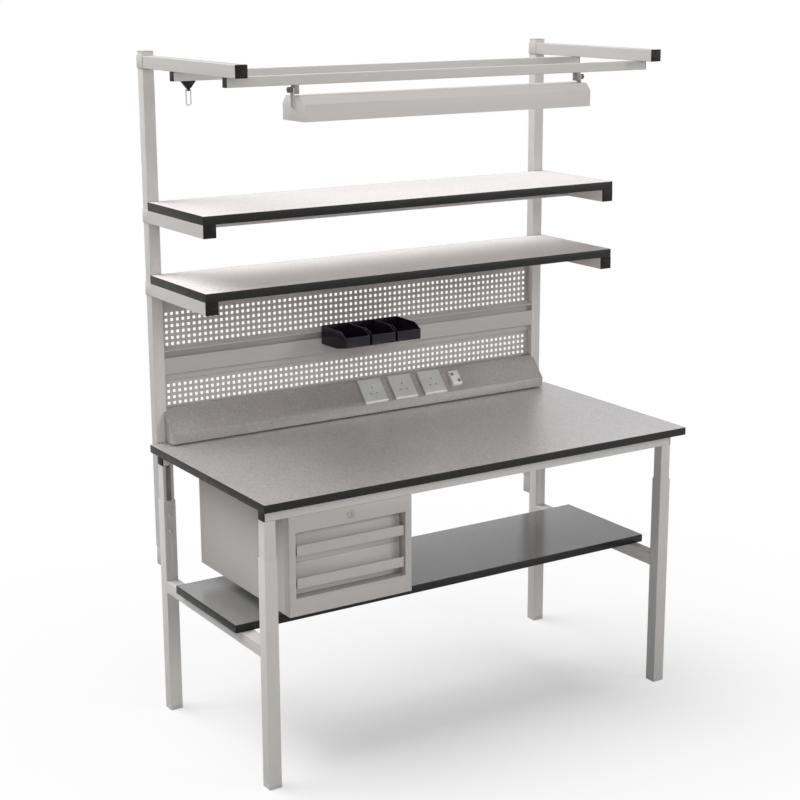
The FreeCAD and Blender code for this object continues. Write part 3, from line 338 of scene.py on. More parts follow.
class Finish(Enum):
    """Every finish on the bench, by the surface that it covers."""

    FRAME = PowderCoat("frame_coat", (0.580, 0.563, 0.547), specular=0.4)
    PANEL = PowderCoat("panel_coat", (0.445, 0.420, 0.405), 0.5, specular=0.4)
    TRUNKING = PowderCoat("trunking_coat", (0.325, 0.302, 0.294), 0.32, specular=1.0, speckle=0.30)
    CABINET = PowderCoat("cabinet_coat", (0.487, 0.465, 0.448), 0.5, specular=0.35)
    LAMP = PowderCoat("lamp_coat", (0.62, 0.588, 0.569), 0.40, specular=0.45)
    WORKTOP = Laminate("speckled_laminate", (0.325, 0.299, 0.295), 0.50, specular=1.0, fleck=0.42,
                       skin=1.0, skin_roughness=0.36, skin_index=4.0)
    LOWER_BOARD = Laminate("grey_laminate", (0.225, 0.222, 0.219), 0.20, specular=0.40, fleck=0.06, skin=0.05)
    REAGENT_BOARD = Laminate("white_laminate", (0.850, 0.810, 0.803), 0.60, specular=0.12, fleck=0.07)
    EDGING = MouldedPlastic("black_edging", (0.011, 0.011, 0.0105), 0.46, specular=0.22, dust=0.02,
                            streak=(0.15, 0.15, 1.0))
    BLACK = MouldedPlastic("black_plastic", (0.0075, 0.0068, 0.0080), 0.44, specular=0.15)
    GREY = MouldedPlastic("grey_plastic", (0.46, 0.45, 0.435), 0.48)
    BIN = MouldedPlastic("bin_plastic", (0.009, 0.0068, 0.0120), 0.16, specular=0.24, depth=0.0, dust=0.0,
                         mottle=0.005)
    SOCKET = MouldedPlastic("socket_plastic", (0.53, 0.53, 0.517), 0.24, depth=0.01 * MM)
    # near-white plastic for the strips of painted highlight on the outlet plates' lower edges
    PAINTED_HIGHLIGHT = MouldedPlastic("painted_highlight_plastic", (0.97, 0.97, 0.96), 0.2, slot="socket_plastic", depth=0.0, dust=0.0)
    # dark grey for the real shutters, darkened as painted shade of the slots
    SHUTTER_AND_SLOT_SHADE = MouldedPlastic("shutter_plastic_and_slot_shade", (0.17, 0.17, 0.165), 0.4, slot="socket_plastic", depth=0.0)
    MODULE = MouldedPlastic("module_plastic", (0.70, 0.70, 0.69), 0.26, depth=0.01 * MM)
    LAMP_END = MouldedPlastic("lamp_end_plastic", (0.57, 0.555, 0.54), 0.45)
    CARRIER = MouldedPlastic("carrier_plastic", (0.25, 0.248, 0.243), 0.40, slot="black_plastic")
    KNOB = MouldedPlastic("knob_plastic", (0.085, 0.085, 0.083), 0.42, slot="black_plastic")
    ZINC = PlatedMetal("zinc", (0.50, 0.50, 0.485), 0.34)
    NICKEL = PlatedMetal("chrome", (0.34, 0.335, 0.325), 0.40)
    OPAL = OpalSheet("diffuser", (0.86, 0.86, 0.84), 0.52)
    TUBE = MouldedPlastic("lamp_glass", (0.85, 0.86, 0.86), 0.15, depth=0.0)


@cache
def material(finish: Finish) -> Material:
    """The material of a finish, built once."""
    return finish.value.build()


# ---- meshes
def shown(name: str, data: bpy.types.ID) -> Thing:
    """Put data into the scene as a new object.

    Args:
        name: the object's name.
        data: its mesh, lamp or camera.

    Returns:
        The object, at the origin.
    """
    thing = bpy.data.objects.new(name, data)
    bpy.context.scene.collection.objects.link(thing)
    return thing


def loose(name: str, mesh: Mesh, outward: bool = True) -> Thing:
    """Put a mesh into the scene.

    Args:
        name: the object's name.
        mesh: the mesh, which is freed.
        outward: whether its faces are turned outward first.

    Returns:
        The new object, at the origin.
    """
    if outward:
        bmesh.ops.recalc_face_normals(mesh, faces=mesh.faces)
    data = bpy.data.meshes.new(name)
    mesh.to_mesh(data)
    mesh.free()
    return shown(name, data)


def baked(thing: Thing) -> Thing:
    """Turn an object's modifiers into plain mesh.

    Args:
        thing: the object.

    Returns:
        The same object, with no modifier.
    """
    bpy.context.view_layer.update()
    graph = bpy.context.evaluated_depsgraph_get()
    result = bpy.data.meshes.new_from_object(thing.evaluated_get(graph), depsgraph=graph)
    thing.modifiers.clear()
    old = thing.data
    thing.data = result
    bpy.data.meshes.remove(old)
    return thing


def smoothed(thing: Thing, sharp: float | None = None) -> Thing:
    """Shade an object smooth.

    Args:
        thing: the object.
        sharp: the angle, in degrees, from which an edge stays sharp.

    Returns:
        The same object.
    """
    for face in thing.data.polygons:
        face.use_smooth = True
    if sharp is not None:
        thing.data.set_sharp_from_angle(angle=math.radians(sharp))
    return thing


def softened(thing: Thing, width: float, segments: int = 2) -> Thing:
    """Round an object's sharp edges a little and shade it smooth.

    Args:
        thing: the object.
        width: the width of the rounding, in metres.
        segments: faces across the rounding.

    Returns:
        The same object, baked.
    """
    bevel = smoothed(thing).modifiers.new("rounding", "BEVEL")
    bevel.width = width
    bevel.segments = segments
    bevel.limit_method = "ANGLE"
    bevel.angle_limit = ROUNDED_FROM
    bevel.harden_normals = True
    bevel.use_clamp_overlap = True
    return baked(thing)


def add_block(mesh: Mesh, low: Sequence[float], high: Sequence[float]) -> None:
    """Add a block between its lowest and its highest corner."""
    middle, size = (Vector(low) + Vector(high)) / 2, Vector(high) - Vector(low)
    bmesh.ops.create_cube(mesh, size=1.0, matrix=Matrix.Translation(middle) @ Matrix.Diagonal((*size, 1.0)))


def add_lathe(mesh: Mesh, profile: Outline, sides: int, turn: Matrix | None = None) -> None:
    """Add a turned shape.

    Args:
        mesh: the mesh to add to.
        profile: (radius, height) points from one pole to the other; the ends have radius 0.
        sides: faces round the axis.
        turn: places the shape, whose axis is Z.
    """
    turn = Matrix.Identity(4) if turn is None else turn
    rings = []
    for radius, height in profile:
        count = 1 if radius < ON_AXIS else sides
        angles = [math.tau * side / sides for side in range(count)]
        rings.append([mesh.verts.new(turn @ Vector((radius * math.cos(angle), radius * math.sin(angle), height)))
                      for angle in angles])
    for lower, upper in zip(rings, rings[1:]):
        for side in range(sides):
            after = (side + 1) % sides
            corners = [lower[side % len(lower)], lower[after % len(lower)], upper[after % len(upper)],
                       upper[side % len(upper)]]
            mesh.faces.new(list(dict.fromkeys(corners)))


def rounded_rectangle(half_x: float, half_y: float, radius: float, steps: int) -> list[Pair]:
    """The outline of a rectangle with rounded corners, anticlockwise.

    Args:
        half_x: half its width.
        half_y: half its height.
        radius: the corners' radius.
        steps: points round each corner, less one.

    Returns:
        The (x, y) points.
    """
    points = []
    for quarter, (sx, sy) in enumerate(((1, 1), (-1, 1), (-1, -1), (1, -1))):
        for step in range(steps + 1):
            angle = math.pi / 2 * (quarter + step / steps)
            points.append((sx * (half_x - radius) + radius * math.cos(angle),
                           sy * (half_y - radius) + radius * math.sin(angle)))
    return points


def add_skin(mesh: Mesh, rings: Sequence[Sequence[Vector]], capped: bool = True) -> list[list[bmesh.types.BMVert]]:
    """Add a skin through rings that have the same number of points.

    Args:
        mesh: the mesh to add to.
        rings: the rings, in order.
        capped: whether the ends get faces.

    Returns:
        The rings' points in the mesh.
    """
    rows = [[mesh.verts.new(point) for point in ring] for ring in rings]
    for lower, upper in zip(rows, rows[1:]):
        for index, after in enumerate((*range(1, len(lower)), 0)):
            mesh.faces.new((lower[index], lower[after], upper[after], upper[index]))
    if capped:
        mesh.faces.new(rows[0][::-1])
        mesh.faces.new(rows[-1])
    return rows


@dataclass
class Workshop:
    """Makes meshes into finished pieces that ride on the frame's bodies."""

    nodes: dict[str, Thing]
    made: int = 0
    flat: float = math.radians(0.6)

    def fitted(self, thing: Thing, body: str, finish: Finish, *stands_for: str) -> None:
        """Paint a piece, fix it to a body and hide the nodes that it stands for.

        Args:
            thing: the finished object.
            body: the body that it rides on.
            finish: its finish.
            stands_for: the nodes that it replaces.
        """
        if not thing.data.materials:
            thing.data.materials.append(material(finish))
        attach(thing, body)
        if stands_for:
            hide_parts(*stands_for)
        self.made += 1
        log.info("%s: %d faces on %s", thing.name, len(thing.data.polygons), body)

    def refined(self, body: str, finish: Finish, width: float, *nodes: str, segments: int = 2) -> None:
        """Stand softened copies in for nodes, with their loose triangles joined to flat faces.

        Args:
            body: the body that they ride on.
            finish: their finish.
            width: the width of the rounding, in metres.
            nodes: the nodes' names.
            segments: faces across the rounding.
        """
        for node in nodes:
            mesh = bmesh.new()
            mesh.from_mesh(self.nodes[node].data)
            bmesh.ops.remove_doubles(mesh, verts=mesh.verts, dist=WELD)
            bmesh.ops.dissolve_limit(mesh, angle_limit=self.flat, verts=mesh.verts, edges=mesh.edges,
                                     delimit={"NORMAL"})
            thing = softened(loose(node + "_dressed", mesh, outward=False), width, segments)
            self.fitted(thing, body, finish, node)

    def painted(self, finish: Finish, *nodes: str) -> None:
        """Give nodes their finish and leave their shape as it is.

        Args:
            finish: their finish.
            nodes: the nodes' names.
        """
        for node in nodes:
            data = self.nodes[node].data
            data.materials.clear()
            data.materials.append(material(finish))
            log.info("%s keeps its own mesh", node)


# ---- geometry nodes
class NodeTree(Tree):
    """A geometry node tree with named inputs, ending in Realize Instances and Set Material."""

    def __init__(self, name: str, **inputs: str) -> None:
        """Start the tree.

        Args:
            name: the tree's name.
            inputs: the kind of each input after the geometry, by name.
        """
        super().__init__(bpy.data.node_groups.new(name, "GeometryNodeTree"))
        face = self.tree.interface
        face.new_socket("Geometry", in_out="INPUT", socket_type="NodeSocketGeometry")
        self.sockets = {}
        for label, kind in {**inputs, "Finish": "Material"}.items():
            socket = face.new_socket(label, in_out="INPUT", socket_type="NodeSocket" + kind)
            self.sockets[label] = socket.identifier
        face.new_socket("Geometry", in_out="OUTPUT", socket_type="NodeSocketGeometry")
        self.source = self.tree.nodes.new("NodeGroupInput").outputs

    def end(self, geometry: Socket, weld: float = 0.0) -> None:
        """Realize, weld, paint and put out the geometry.

        Args:
            geometry: the geometry socket to finish.
            weld: the distance below which points are merged, or 0.
        """
        solid = self.add("GeometryNodeRealizeInstances", 0, {0: geometry})
        if weld:
            solid = self.add("GeometryNodeMergeByDistance", 0, {0: solid, "Distance": weld})
        painted = self.add("GeometryNodeSetMaterial", 0, {"Geometry": solid, "Material": self.source["Finish"]})
        self.add("NodeGroupOutput", None, {0: painted})

    def applied(self, thing: Thing, **values: object) -> Thing:
        """Run the tree on an object and keep the plain mesh.

        Args:
            thing: the object that carries the tree's input geometry.
            values: a value for each named input.

        Returns:
            The same object.
        """
        modifier = thing.modifiers.new(self.tree.name, "NODES")
        modifier.node_group = self.tree
        for label, value in values.items():
            modifier[self.sockets[label]] = value
        return baked(thing)


class GridOfCells(NodeTree):
    """Repeats one cell over a grid in the XZ plane and joins it to what it is given."""

    def __init__(self) -> None:
        """Build the tree."""
        super().__init__("grid_of_cells", Columns="Int", Rows="Int", Pitch="Float", Middle="Vector", Cell="Object")
        sizes = {}
        for axis, label in (("X", "Columns"), ("Y", "Rows")):
            gaps = self.maths("SUBTRACT", self.source[label], 1.0)
            sizes["Size " + axis] = self.maths("MULTIPLY", gaps, self.source["Pitch"])
            sizes["Vertices " + axis] = self.source[label]
        points = self.add("GeometryNodeTransform", "Geometry", {
            "Geometry": self.add("GeometryNodeMeshGrid", "Mesh", sizes), "Translation": self.source["Middle"],
            "Rotation": (math.pi / 2, 0.0, 0.0)})
        cell = self.add("GeometryNodeObjectInfo", "Geometry", {"Object": self.source["Cell"]})
        cells = self.add("GeometryNodeInstanceOnPoints", "Instances", {"Points": points, "Instance": cell})
        both = self.add("GeometryNodeJoinGeometry", 0, {0: [self.source["Geometry"], cells]})
        self.end(both, weld=0.02 * MM)


class FastenersOnPoints(NodeTree):
    """Sets a fastener on each point, its Z axis along the point's aim, turned at random about it."""

    def __init__(self) -> None:
        """Build the tree."""
        super().__init__("fasteners_on_points", Fastener="Object", Seed="Int")
        part = self.add("GeometryNodeObjectInfo", "Geometry", {"Object": self.source["Fastener"]})
        aim = self.add("GeometryNodeInputNamedAttribute", "Attribute", {"Name": "aim"}, data_type="FLOAT_VECTOR")
        facing = self.add("FunctionNodeAlignRotationToVector", 0, {"Vector": aim}, axis="Z")
        spin = self.add("FunctionNodeRandomValue", 1, {2: 0.0, 3: math.tau, "Seed": self.source["Seed"]},
                        data_type="FLOAT")
        about = self.add("FunctionNodeAxisAngleToRotation", 0, {"Axis": (0.0, 0.0, 1.0), "Angle": spin})
        turned = self.add("FunctionNodeRotateRotation", 0, {"Rotation": facing, "Rotate By": about},
                          rotation_space="LOCAL")
        self.end(self.add("GeometryNodeInstanceOnPoints", "Instances", {
            "Points": self.source["Geometry"], "Instance": part, "Rotation": turned}))


# ---- fasteners
class Head(Enum):
    """The heads of the bench's fasteners: (radius, height) points from the top, for a radius of 1."""

    BUTTON = ((0.0, 0.30), (0.4116, 0.30), (0.42, 0.60), (0.4704, 0.635), (0.72, 0.52), (0.93, 0.28), (1.0, 0.08),
              (0.99, 0.0))
    HEXAGON = ((0.0, 0.16), (1.0864, 0.16), (1.12, 0.13), (1.12, 0.0))


@dataclass
class FastenerKit:
    """Makes fasteners and sets them where they are needed."""

    shop: Workshop
    tree: FastenersOnPoints = field(default_factory=FastenersOnPoints)
    sides: int = 28
    thread: float = 0.55
    drive_reach: float = 0.5
    flats: Outline = ((0.0, 0.16), (1.0, 0.16), (1.0, 0.60), (0.80, 0.70), (0.0, 0.70))
    sharp: float = 32.0

    def pattern(self, head: Head, radius: float, shank: float) -> Thing:
        """The mesh of one fastener, its head above the XY plane and its shank below.

        Args:
            head: the kind of head.
            radius: the head's radius.
            shank: the length below the head.

        Returns:
            An object for the tree to copy.
        """
        mesh = bmesh.new()
        thread = radius * self.thread
        crown = [(radius * across, radius * up) for across, up in head.value[::-1]]
        add_lathe(mesh, [(0.0, -shank), (thread, -shank), (thread, 0.0), *crown], self.sides)
        if head is Head.HEXAGON:
            add_lathe(mesh, [(radius * across, radius * up) for across, up in self.flats], 6)
        else:  # The drive hole's points are pulled from a circle onto a hexagon.
            for vert in mesh.verts:
                distance = math.hypot(vert.co.x, vert.co.y)
                if ON_AXIS < distance < radius * self.drive_reach and vert.co.z > 0:
                    angle = math.atan2(vert.co.y, vert.co.x) % (math.pi / 3) - math.pi / 6
                    vert.co.xy *= math.cos(math.pi / 6) / math.cos(angle)
        return smoothed(loose("pattern", mesh), self.sharp)

    def set_on(self, name: str, body: str, finish: Finish, pattern: Thing,
               points: Sequence[tuple[Vector, Vector]], stands_for: str) -> None:
        """Set one kind of fastener on a body.

        Args:
            name: the piece's name.
            body: the body that it rides on.
            finish: its finish.
            pattern: the fastener, which is removed once it is set.
            points: (place, outward direction) of each fastener.
            stands_for: the node that it replaces.
        """
        data = bpy.data.meshes.new(name)
        data.from_pydata([place for place, _ in points], [], [])
        aim = data.attributes.new("aim", "FLOAT_VECTOR", "POINT")
        for index, (_, outward) in enumerate(points):
            aim.data[index].vector = outward
        thing = self.tree.applied(shown(name, data), Fastener=pattern, Seed=len(name), Finish=material(finish))
        bpy.data.objects.remove(pattern)
        self.shop.fitted(thing, body, finish, stands_for)


# ---- sub-assemblies
@dataclass
class SteelFrame:
    """The legs, rails, crossbars and uprights: folded and welded tube, with its bolts."""

    shop: Workshop
    kit: FastenerKit
    rounding: float = 0.5 * MM
    clamp_heights: Pair = (640.0 * MM, 589.0 * MM)
    clamp_radius: float = 7.0 * MM
    clamp_shank: float = 6.0 * MM
    bolt_heights: Pair = (819.0 * MM, 755.0 * MM)
    bolt_radius: float = 7.2 * MM
    bolt_shank: float = 40.0 * MM

    def dress(self) -> None:
        """Soften and paint every tube, then set the bolts."""
        legs = ["outer_leg_" + side for side in ("front_left", "front_right", "rear_left", "rear_right")]
        self.shop.refined("base", Finish.FRAME, self.rounding, *legs, "lower_crossbars")
        self.shop.refined("base", Finish.GREY, 1.2 * MM, "leg_feet", segments=3)
        self.shop.refined("top", Finish.FRAME, self.rounding, "inner_legs", "front_rail", "rear_rail",
                          "upright_left", "upright_right")
        self.shop.refined("top", Finish.BLACK, 0.8 * MM, "rail_end_caps")
        self.shop.refined("top", Finish.GREY, 0.8 * MM, "upright_end_plugs")
        self.shop.painted(Finish.FRAME, "cabinet_hangers")
        self.shop.painted(Finish.ZINC, "worktop_screws", "lower_shelf_screws")
        clamps = [spot for leg in legs for spot in self.on_face(leg, self.clamp_heights, "front" in leg)]
        self.kit.set_on("clamp_bolts", "base", Finish.FRAME,
                        self.kit.pattern(Head.BUTTON, self.clamp_radius, self.clamp_shank), clamps, "leg_clamp_bolts")
        bolts = [spot for node in ("upright_left", "upright_right")
                 for spot in self.on_face(node, self.bolt_heights, True)]
        self.kit.set_on("upright_bolt_heads", "top", Finish.ZINC,
                        self.kit.pattern(Head.HEXAGON, self.bolt_radius, self.bolt_shank), bolts, "upright_bolts")

    @staticmethod
    def on_face(node: str, heights: Pair, rear: bool) -> list[tuple[Vector, Vector]]:
        """(place, outward direction) of points at some heights on the middle of a tube's rear or front face."""
        low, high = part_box(node)
        return [(Vector(((low.x + high.x) / 2, high.y if rear else low.y, height)),
                 Vector((0.0, 1.0 if rear else -1.0, 0.0))) for height in heights]


@dataclass
class EdgedBoards:
    """The worktop and the shelves: a faced core in a black edging."""

    shop: Workshop
    edging: float = 2.0 * MM
    arris: float = 0.6 * MM
    corner: float = 2.2 * MM
    least: float = 0.1 * MM
    sharp: float = 50.0

    def dress(self) -> None:
        """Build the four boards."""
        self.board("worktop", "top", Finish.WORKTOP)
        self.board("lower_shelf", "base", Finish.LOWER_BOARD)
        self.board("shelf_upper", "shelf_upper", Finish.REAGENT_BOARD)
        self.board("shelf_lower", "shelf_lower", Finish.REAGENT_BOARD)

    def board(self, name: str, body: str, finish: Finish) -> None:
        """Build one board and its edging.

        Args:
            name: the board's name, which starts its nodes' names.
            body: the body that it rides on.
            finish: the facing.
        """
        low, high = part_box(name + "_edging")
        mesh = bmesh.new()
        inset = Vector((self.edging, self.edging, 0.0))
        add_block(mesh, low + inset, high - inset)
        self.shop.fitted(softened(loose(name + "_facing", mesh), 0.2 * MM, 1), body, finish, name + "_board")
        middle, half, arris = (low + high) / 2, (high - low) / 2, self.arris
        rings = []
        for reach, height in ((self.edging, low.z), (arris, low.z), (0.0, low.z + arris), (0.0, high.z - arris),
                              (arris * 0.3, high.z - arris * 0.3), (arris, high.z), (self.edging, high.z)):
            outline = rounded_rectangle(half.x - reach, half.y - reach, max(self.corner - reach, self.least), 3)
            rings.append([Vector((middle.x + x, middle.y + y, height)) for x, y in outline])
        mesh = bmesh.new()
        add_skin(mesh, rings, capped=False)
        bmesh.ops.bridge_loops(mesh, edges=[edge for edge in mesh.edges if edge.is_boundary])
        strip = smoothed(loose(name + "_edge_strip", mesh), self.sharp)
        self.shop.fitted(strip, body, Finish.EDGING, name + "_edging")


@dataclass
class PerforatedPanels:
    """Two sheets with square holes, and the folded rail between them."""

    shop: Workshop
    pitch: float = 18.6 * MM
    hole: float = 9.3 * MM
    sheet: float = 1.5 * MM
    rows: int = 6
    corner: float = 1.1 * MM
    break_edge: float = 0.25 * MM
    foot_margin: float = 30.0 * MM

    def dress(self) -> None:
        """Build both panels and the rail."""
        tree = GridOfCells()
        cell = self.cell()
        for name in ("upper", "lower"):
            self.panel(tree, cell, "perforated_panel_" + name)
        bpy.data.objects.remove(cell)
        self.shop.refined("top", Finish.PANEL, 0.5 * MM, "bin_rail")

    def cell(self) -> Thing:
        """One pitch of sheet round one hole.

        Returns:
            The cell, centred on the origin and facing -Y.
        """
        half, edge = self.pitch / 2, self.break_edge
        around = ((-1, -1), (0, -1), (1, -1), (1, 0), (1, 1), (0, 1), (-1, 1), (-1, 0))
        mesh = bmesh.new()
        borders = [[mesh.verts.new((half * x, depth, half * z)) for x, z in around] for depth in (0.0, self.sheet)]
        rings = []
        for grow, depth in ((edge, 0.0), (0.0, edge), (0.0, self.sheet - edge), (edge, self.sheet)):
            outline = rounded_rectangle(self.hole / 2 + grow, self.hole / 2 + grow, self.corner + grow, 1)
            rings.append([Vector((x, depth, z)) for x, z in outline])
        bores = add_skin(mesh, rings, capped=False)
        for border, bore in zip(borders, (bores[0], bores[-1])):
            for corner, first, second in ((4, 0, 1), (6, 2, 3), (0, 4, 5), (2, 6, 7)):
                mesh.faces.new((border[corner], bore[second], bore[first]))
                mesh.faces.new((border[corner], bore[first], border[(corner - 1) % 8]))
                mesh.faces.new((border[corner], border[(corner + 1) % 8], bore[second]))
            for middle, first, second in ((5, 1, 2), (7, 3, 4), (1, 5, 6), (3, 7, 0)):
                mesh.faces.new((border[middle], bore[second], bore[first]))
        bmesh.ops.recalc_face_normals(mesh, faces=mesh.faces)
        front = min(mesh.faces, key=lambda face: face.calc_center_median().y)
        if front.normal.y > 0:
            bmesh.ops.reverse_faces(mesh, faces=mesh.faces)
        return loose("pattern_cell", mesh, outward=False)

    def panel(self, tree: GridOfCells, cell: Thing, node: str) -> None:
        """Build one panel.

        Args:
            tree: repeats the cell.
            cell: one pitch of the sheet.
            node: the node that the panel stands for.
        """
        low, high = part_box(node)
        columns = int((high.x - low.x - self.pitch) // self.pitch)
        side = columns * self.pitch / 2
        middle = low.z + self.foot_margin + (self.rows - 1) * self.pitch / 2
        foot, head = middle - self.rows * self.pitch / 2, middle + self.rows * self.pitch / 2
        sheet, width = self.sheet, (low.x, high.x)
        face, rim = (low.y, low.y + sheet), (low.y + sheet, high.y)
        mesh = bmesh.new()
        for x, y, z in ((width, face, (low.z, foot)), (width, face, (head, high.z)),
                        ((low.x, -side), face, (foot, head)), ((side, high.x), face, (foot, head)),
                        (width, rim, (low.z, low.z + sheet)), (width, rim, (high.z - sheet, high.z)),
                        ((low.x, low.x + sheet), rim, (low.z + sheet, high.z - sheet)),
                        ((high.x - sheet, high.x), rim, (low.z + sheet, high.z - sheet))):
            add_block(mesh, *zip(x, y, z))
        thing = tree.applied(loose(node + "_sheet", mesh), Columns=columns, Rows=self.rows, Pitch=self.pitch,
                             Middle=(0.0, low.y, middle), Cell=cell, Finish=material(Finish.PANEL))
        self.shop.fitted(thing, "top", Finish.PANEL, node)


@dataclass
class Trunking:
    """The sloping trunking with its outlet plates and data module."""

    shop: Workshop
    slope: float = math.radians(48.26)
    lip: float = 30.0 * MM
    plate: float = 86.0 * MM
    plate_count: int = 3
    plate_starts: float = 2.3 * MM
    plate_face: float = 8.0 * MM
    slot_size: Pair = (3.9 * MM, 7.1 * MM)
    slot_spread: float = 11.0 * MM
    shutter_depth: float = 2.0 * MM
    shutter_thickness: float = 2.6 * MM
    module_starts: float = 21.0 * MM
    module_height: float = 50.0 * MM
    module_face: float = 12.0 * MM
    bushing: Outline = (
        (0.0, -5.0), (1.8, -5.0), (1.8, 1.7), (2.1, 2.1), (4.4, 2.1), (5.1, 1.5), (5.1, 0.1), (6.2, 0.1),
        (6.2, -0.3), (0.0, -0.3))
    # sizes of the white strips of painted highlight along the plates' lower edges
    highlight_over: float = 0.12 * MM
    highlight_reach: float = 4.5 * MM
    highlight_inside: float = 0.3 * MM
    highlight_margin: float = 0.4 * MM

    def dress(self) -> None:
        """Paint the trunking and build what sits on it."""
        self.shop.refined("top", Finish.TRUNKING, 0.5 * MM, "trunking_cover")
        self.shop.refined("top", Finish.TRUNKING, 0.3 * MM, "trunking_body")
        self.shop.refined("top", Finish.SOCKET, 0.9 * MM, "socket_plates", segments=3)
        self.shop.refined("top", Finish.MODULE, 0.8 * MM, "data_module", segments=3)
        self.jacks()
        self.shutters()
        self.painted_highlight_strips()

    def on_slope(self, x: float, up: float, out: float) -> Matrix:
        """A frame at a place on the sloping face: X along the trunking, Y up from the slope's foot, Z out of it."""
        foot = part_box("trunking_cover")[0]
        return (Matrix.Translation((0.0, foot.y, foot.z + self.lip)) @ Matrix.Rotation(self.slope, 4, "X")
                @ Matrix.Translation((x, up, out)))

    def plate_lefts(self) -> list[float]:
        """The place of each outlet plate's left edge along the trunking."""
        low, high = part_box("socket_plates")
        return [low.x + (high.x - low.x - self.plate) * index / (self.plate_count - 1)
                for index in range(self.plate_count)]

    def jacks(self) -> None:
        """Set a dark bushing over each of the module's two jacks."""
        low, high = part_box("data_module")
        mesh = bmesh.new()
        for sign in (-1, 1):
            turn = self.on_slope((low.x + high.x) / 2 + sign * (high.x - low.x) / 4,
                                 self.module_starts + self.module_height * (0.5 - sign * 0.25), self.module_face)
            add_lathe(mesh, [(radius * MM, height * MM) for radius, height in self.bushing], 24, turn)
        self.shop.fitted(smoothed(loose("jack_bushings", mesh), 40.0), "top", Finish.KNOB)

    def shutters(self) -> None:
        """Set a shutter a little way down each slot of the outlet plates, its dark grey partly painted shade of the
        slots' depth.
        """
        mesh = bmesh.new()
        spread, size = self.slot_spread, self.slot_size
        for left in self.plate_lefts():
            for x, up, (wide, tall) in ((0.0, spread, size), (-spread, -spread, size[::-1]),
                                        (spread, -spread, size[::-1])):
                turn = self.on_slope(left + self.plate / 2 + x, self.plate_starts + self.plate / 2 + up,
                                     self.plate_face - self.shutter_depth)
                matrix = turn @ Matrix.Diagonal((wide, tall, self.shutter_thickness, 1.0))
                bmesh.ops.create_cube(mesh, size=1.0, matrix=matrix)
        # the shutters' dark grey is partly painted shade of the slots
        self.shop.fitted(loose("outlet_shutters", mesh), "top", Finish.SHUTTER_AND_SLOT_SHADE)

    def painted_highlight_strips(self) -> None:
        """Run a white strip along the lower edge of each plate and of the module, as a painted highlight of their lit
        edges.
        """
        mesh = bmesh.new()
        over, reach, inside = self.highlight_over, self.highlight_reach, self.highlight_inside
        low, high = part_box("data_module")
        edges = [(left, self.plate, self.plate_starts, self.plate_face) for left in self.plate_lefts()]
        for left, width, up, face in (*edges, (low.x, high.x - low.x, self.module_starts, self.module_face)):
            outline = ((-over, inside), (-over, face - over), (0.0, face + over), (reach, face + over),
                       (reach, face - inside), (inside, face - inside), (inside, inside))
            add_skin(mesh, [[self.on_slope(x, up + along, out).translation for along, out in outline]
                            for x in (left + self.highlight_margin, left + width - self.highlight_margin)])
        self.shop.fitted(loose("outlet_trims", mesh), "top", Finish.PAINTED_HIGHLIGHT)


@dataclass
class StorageBins:
    """Three small open-fronted bins."""

    shop: Workshop

    def dress(self) -> None:
        """Soften and paint the bins."""
        for letter, number in zip("abc", "123"):
            self.shop.refined("bin_" + letter, Finish.BIN, 0.9 * MM, "bin_" + number, segments=3)


@dataclass
class DrawerUnit:
    """The cabinet under the worktop with its two drawers."""

    shop: Workshop

    def dress(self) -> None:
        """Soften the sheet metal and paint it."""
        self.shop.refined("top", Finish.CABINET, 0.7 * MM, "cabinet_shell", "cabinet_front_frame")
        for name in ("drawer_upper", "drawer_lower"):
            self.shop.refined(name, Finish.CABINET, 0.6 * MM, name + "_front")
            self.shop.refined(name, Finish.CABINET, 0.4 * MM, name + "_box")
        self.shop.painted(Finish.ZINC, "drawer_runners")
        self.shop.refined("lock", Finish.NICKEL, 0.4 * MM, "lock_barrel")


@dataclass
class ReagentShelves:
    """The arms and end plugs of the two reagent shelves."""

    shop: Workshop

    def dress(self) -> None:
        """Soften the arms and plugs."""
        for name in ("shelf_upper", "shelf_lower"):
            self.shop.refined(name, Finish.FRAME, 0.5 * MM, name + "_frame")
            self.shop.refined(name, Finish.BLACK, 1.0 * MM, name + "_end_plugs", segments=3)


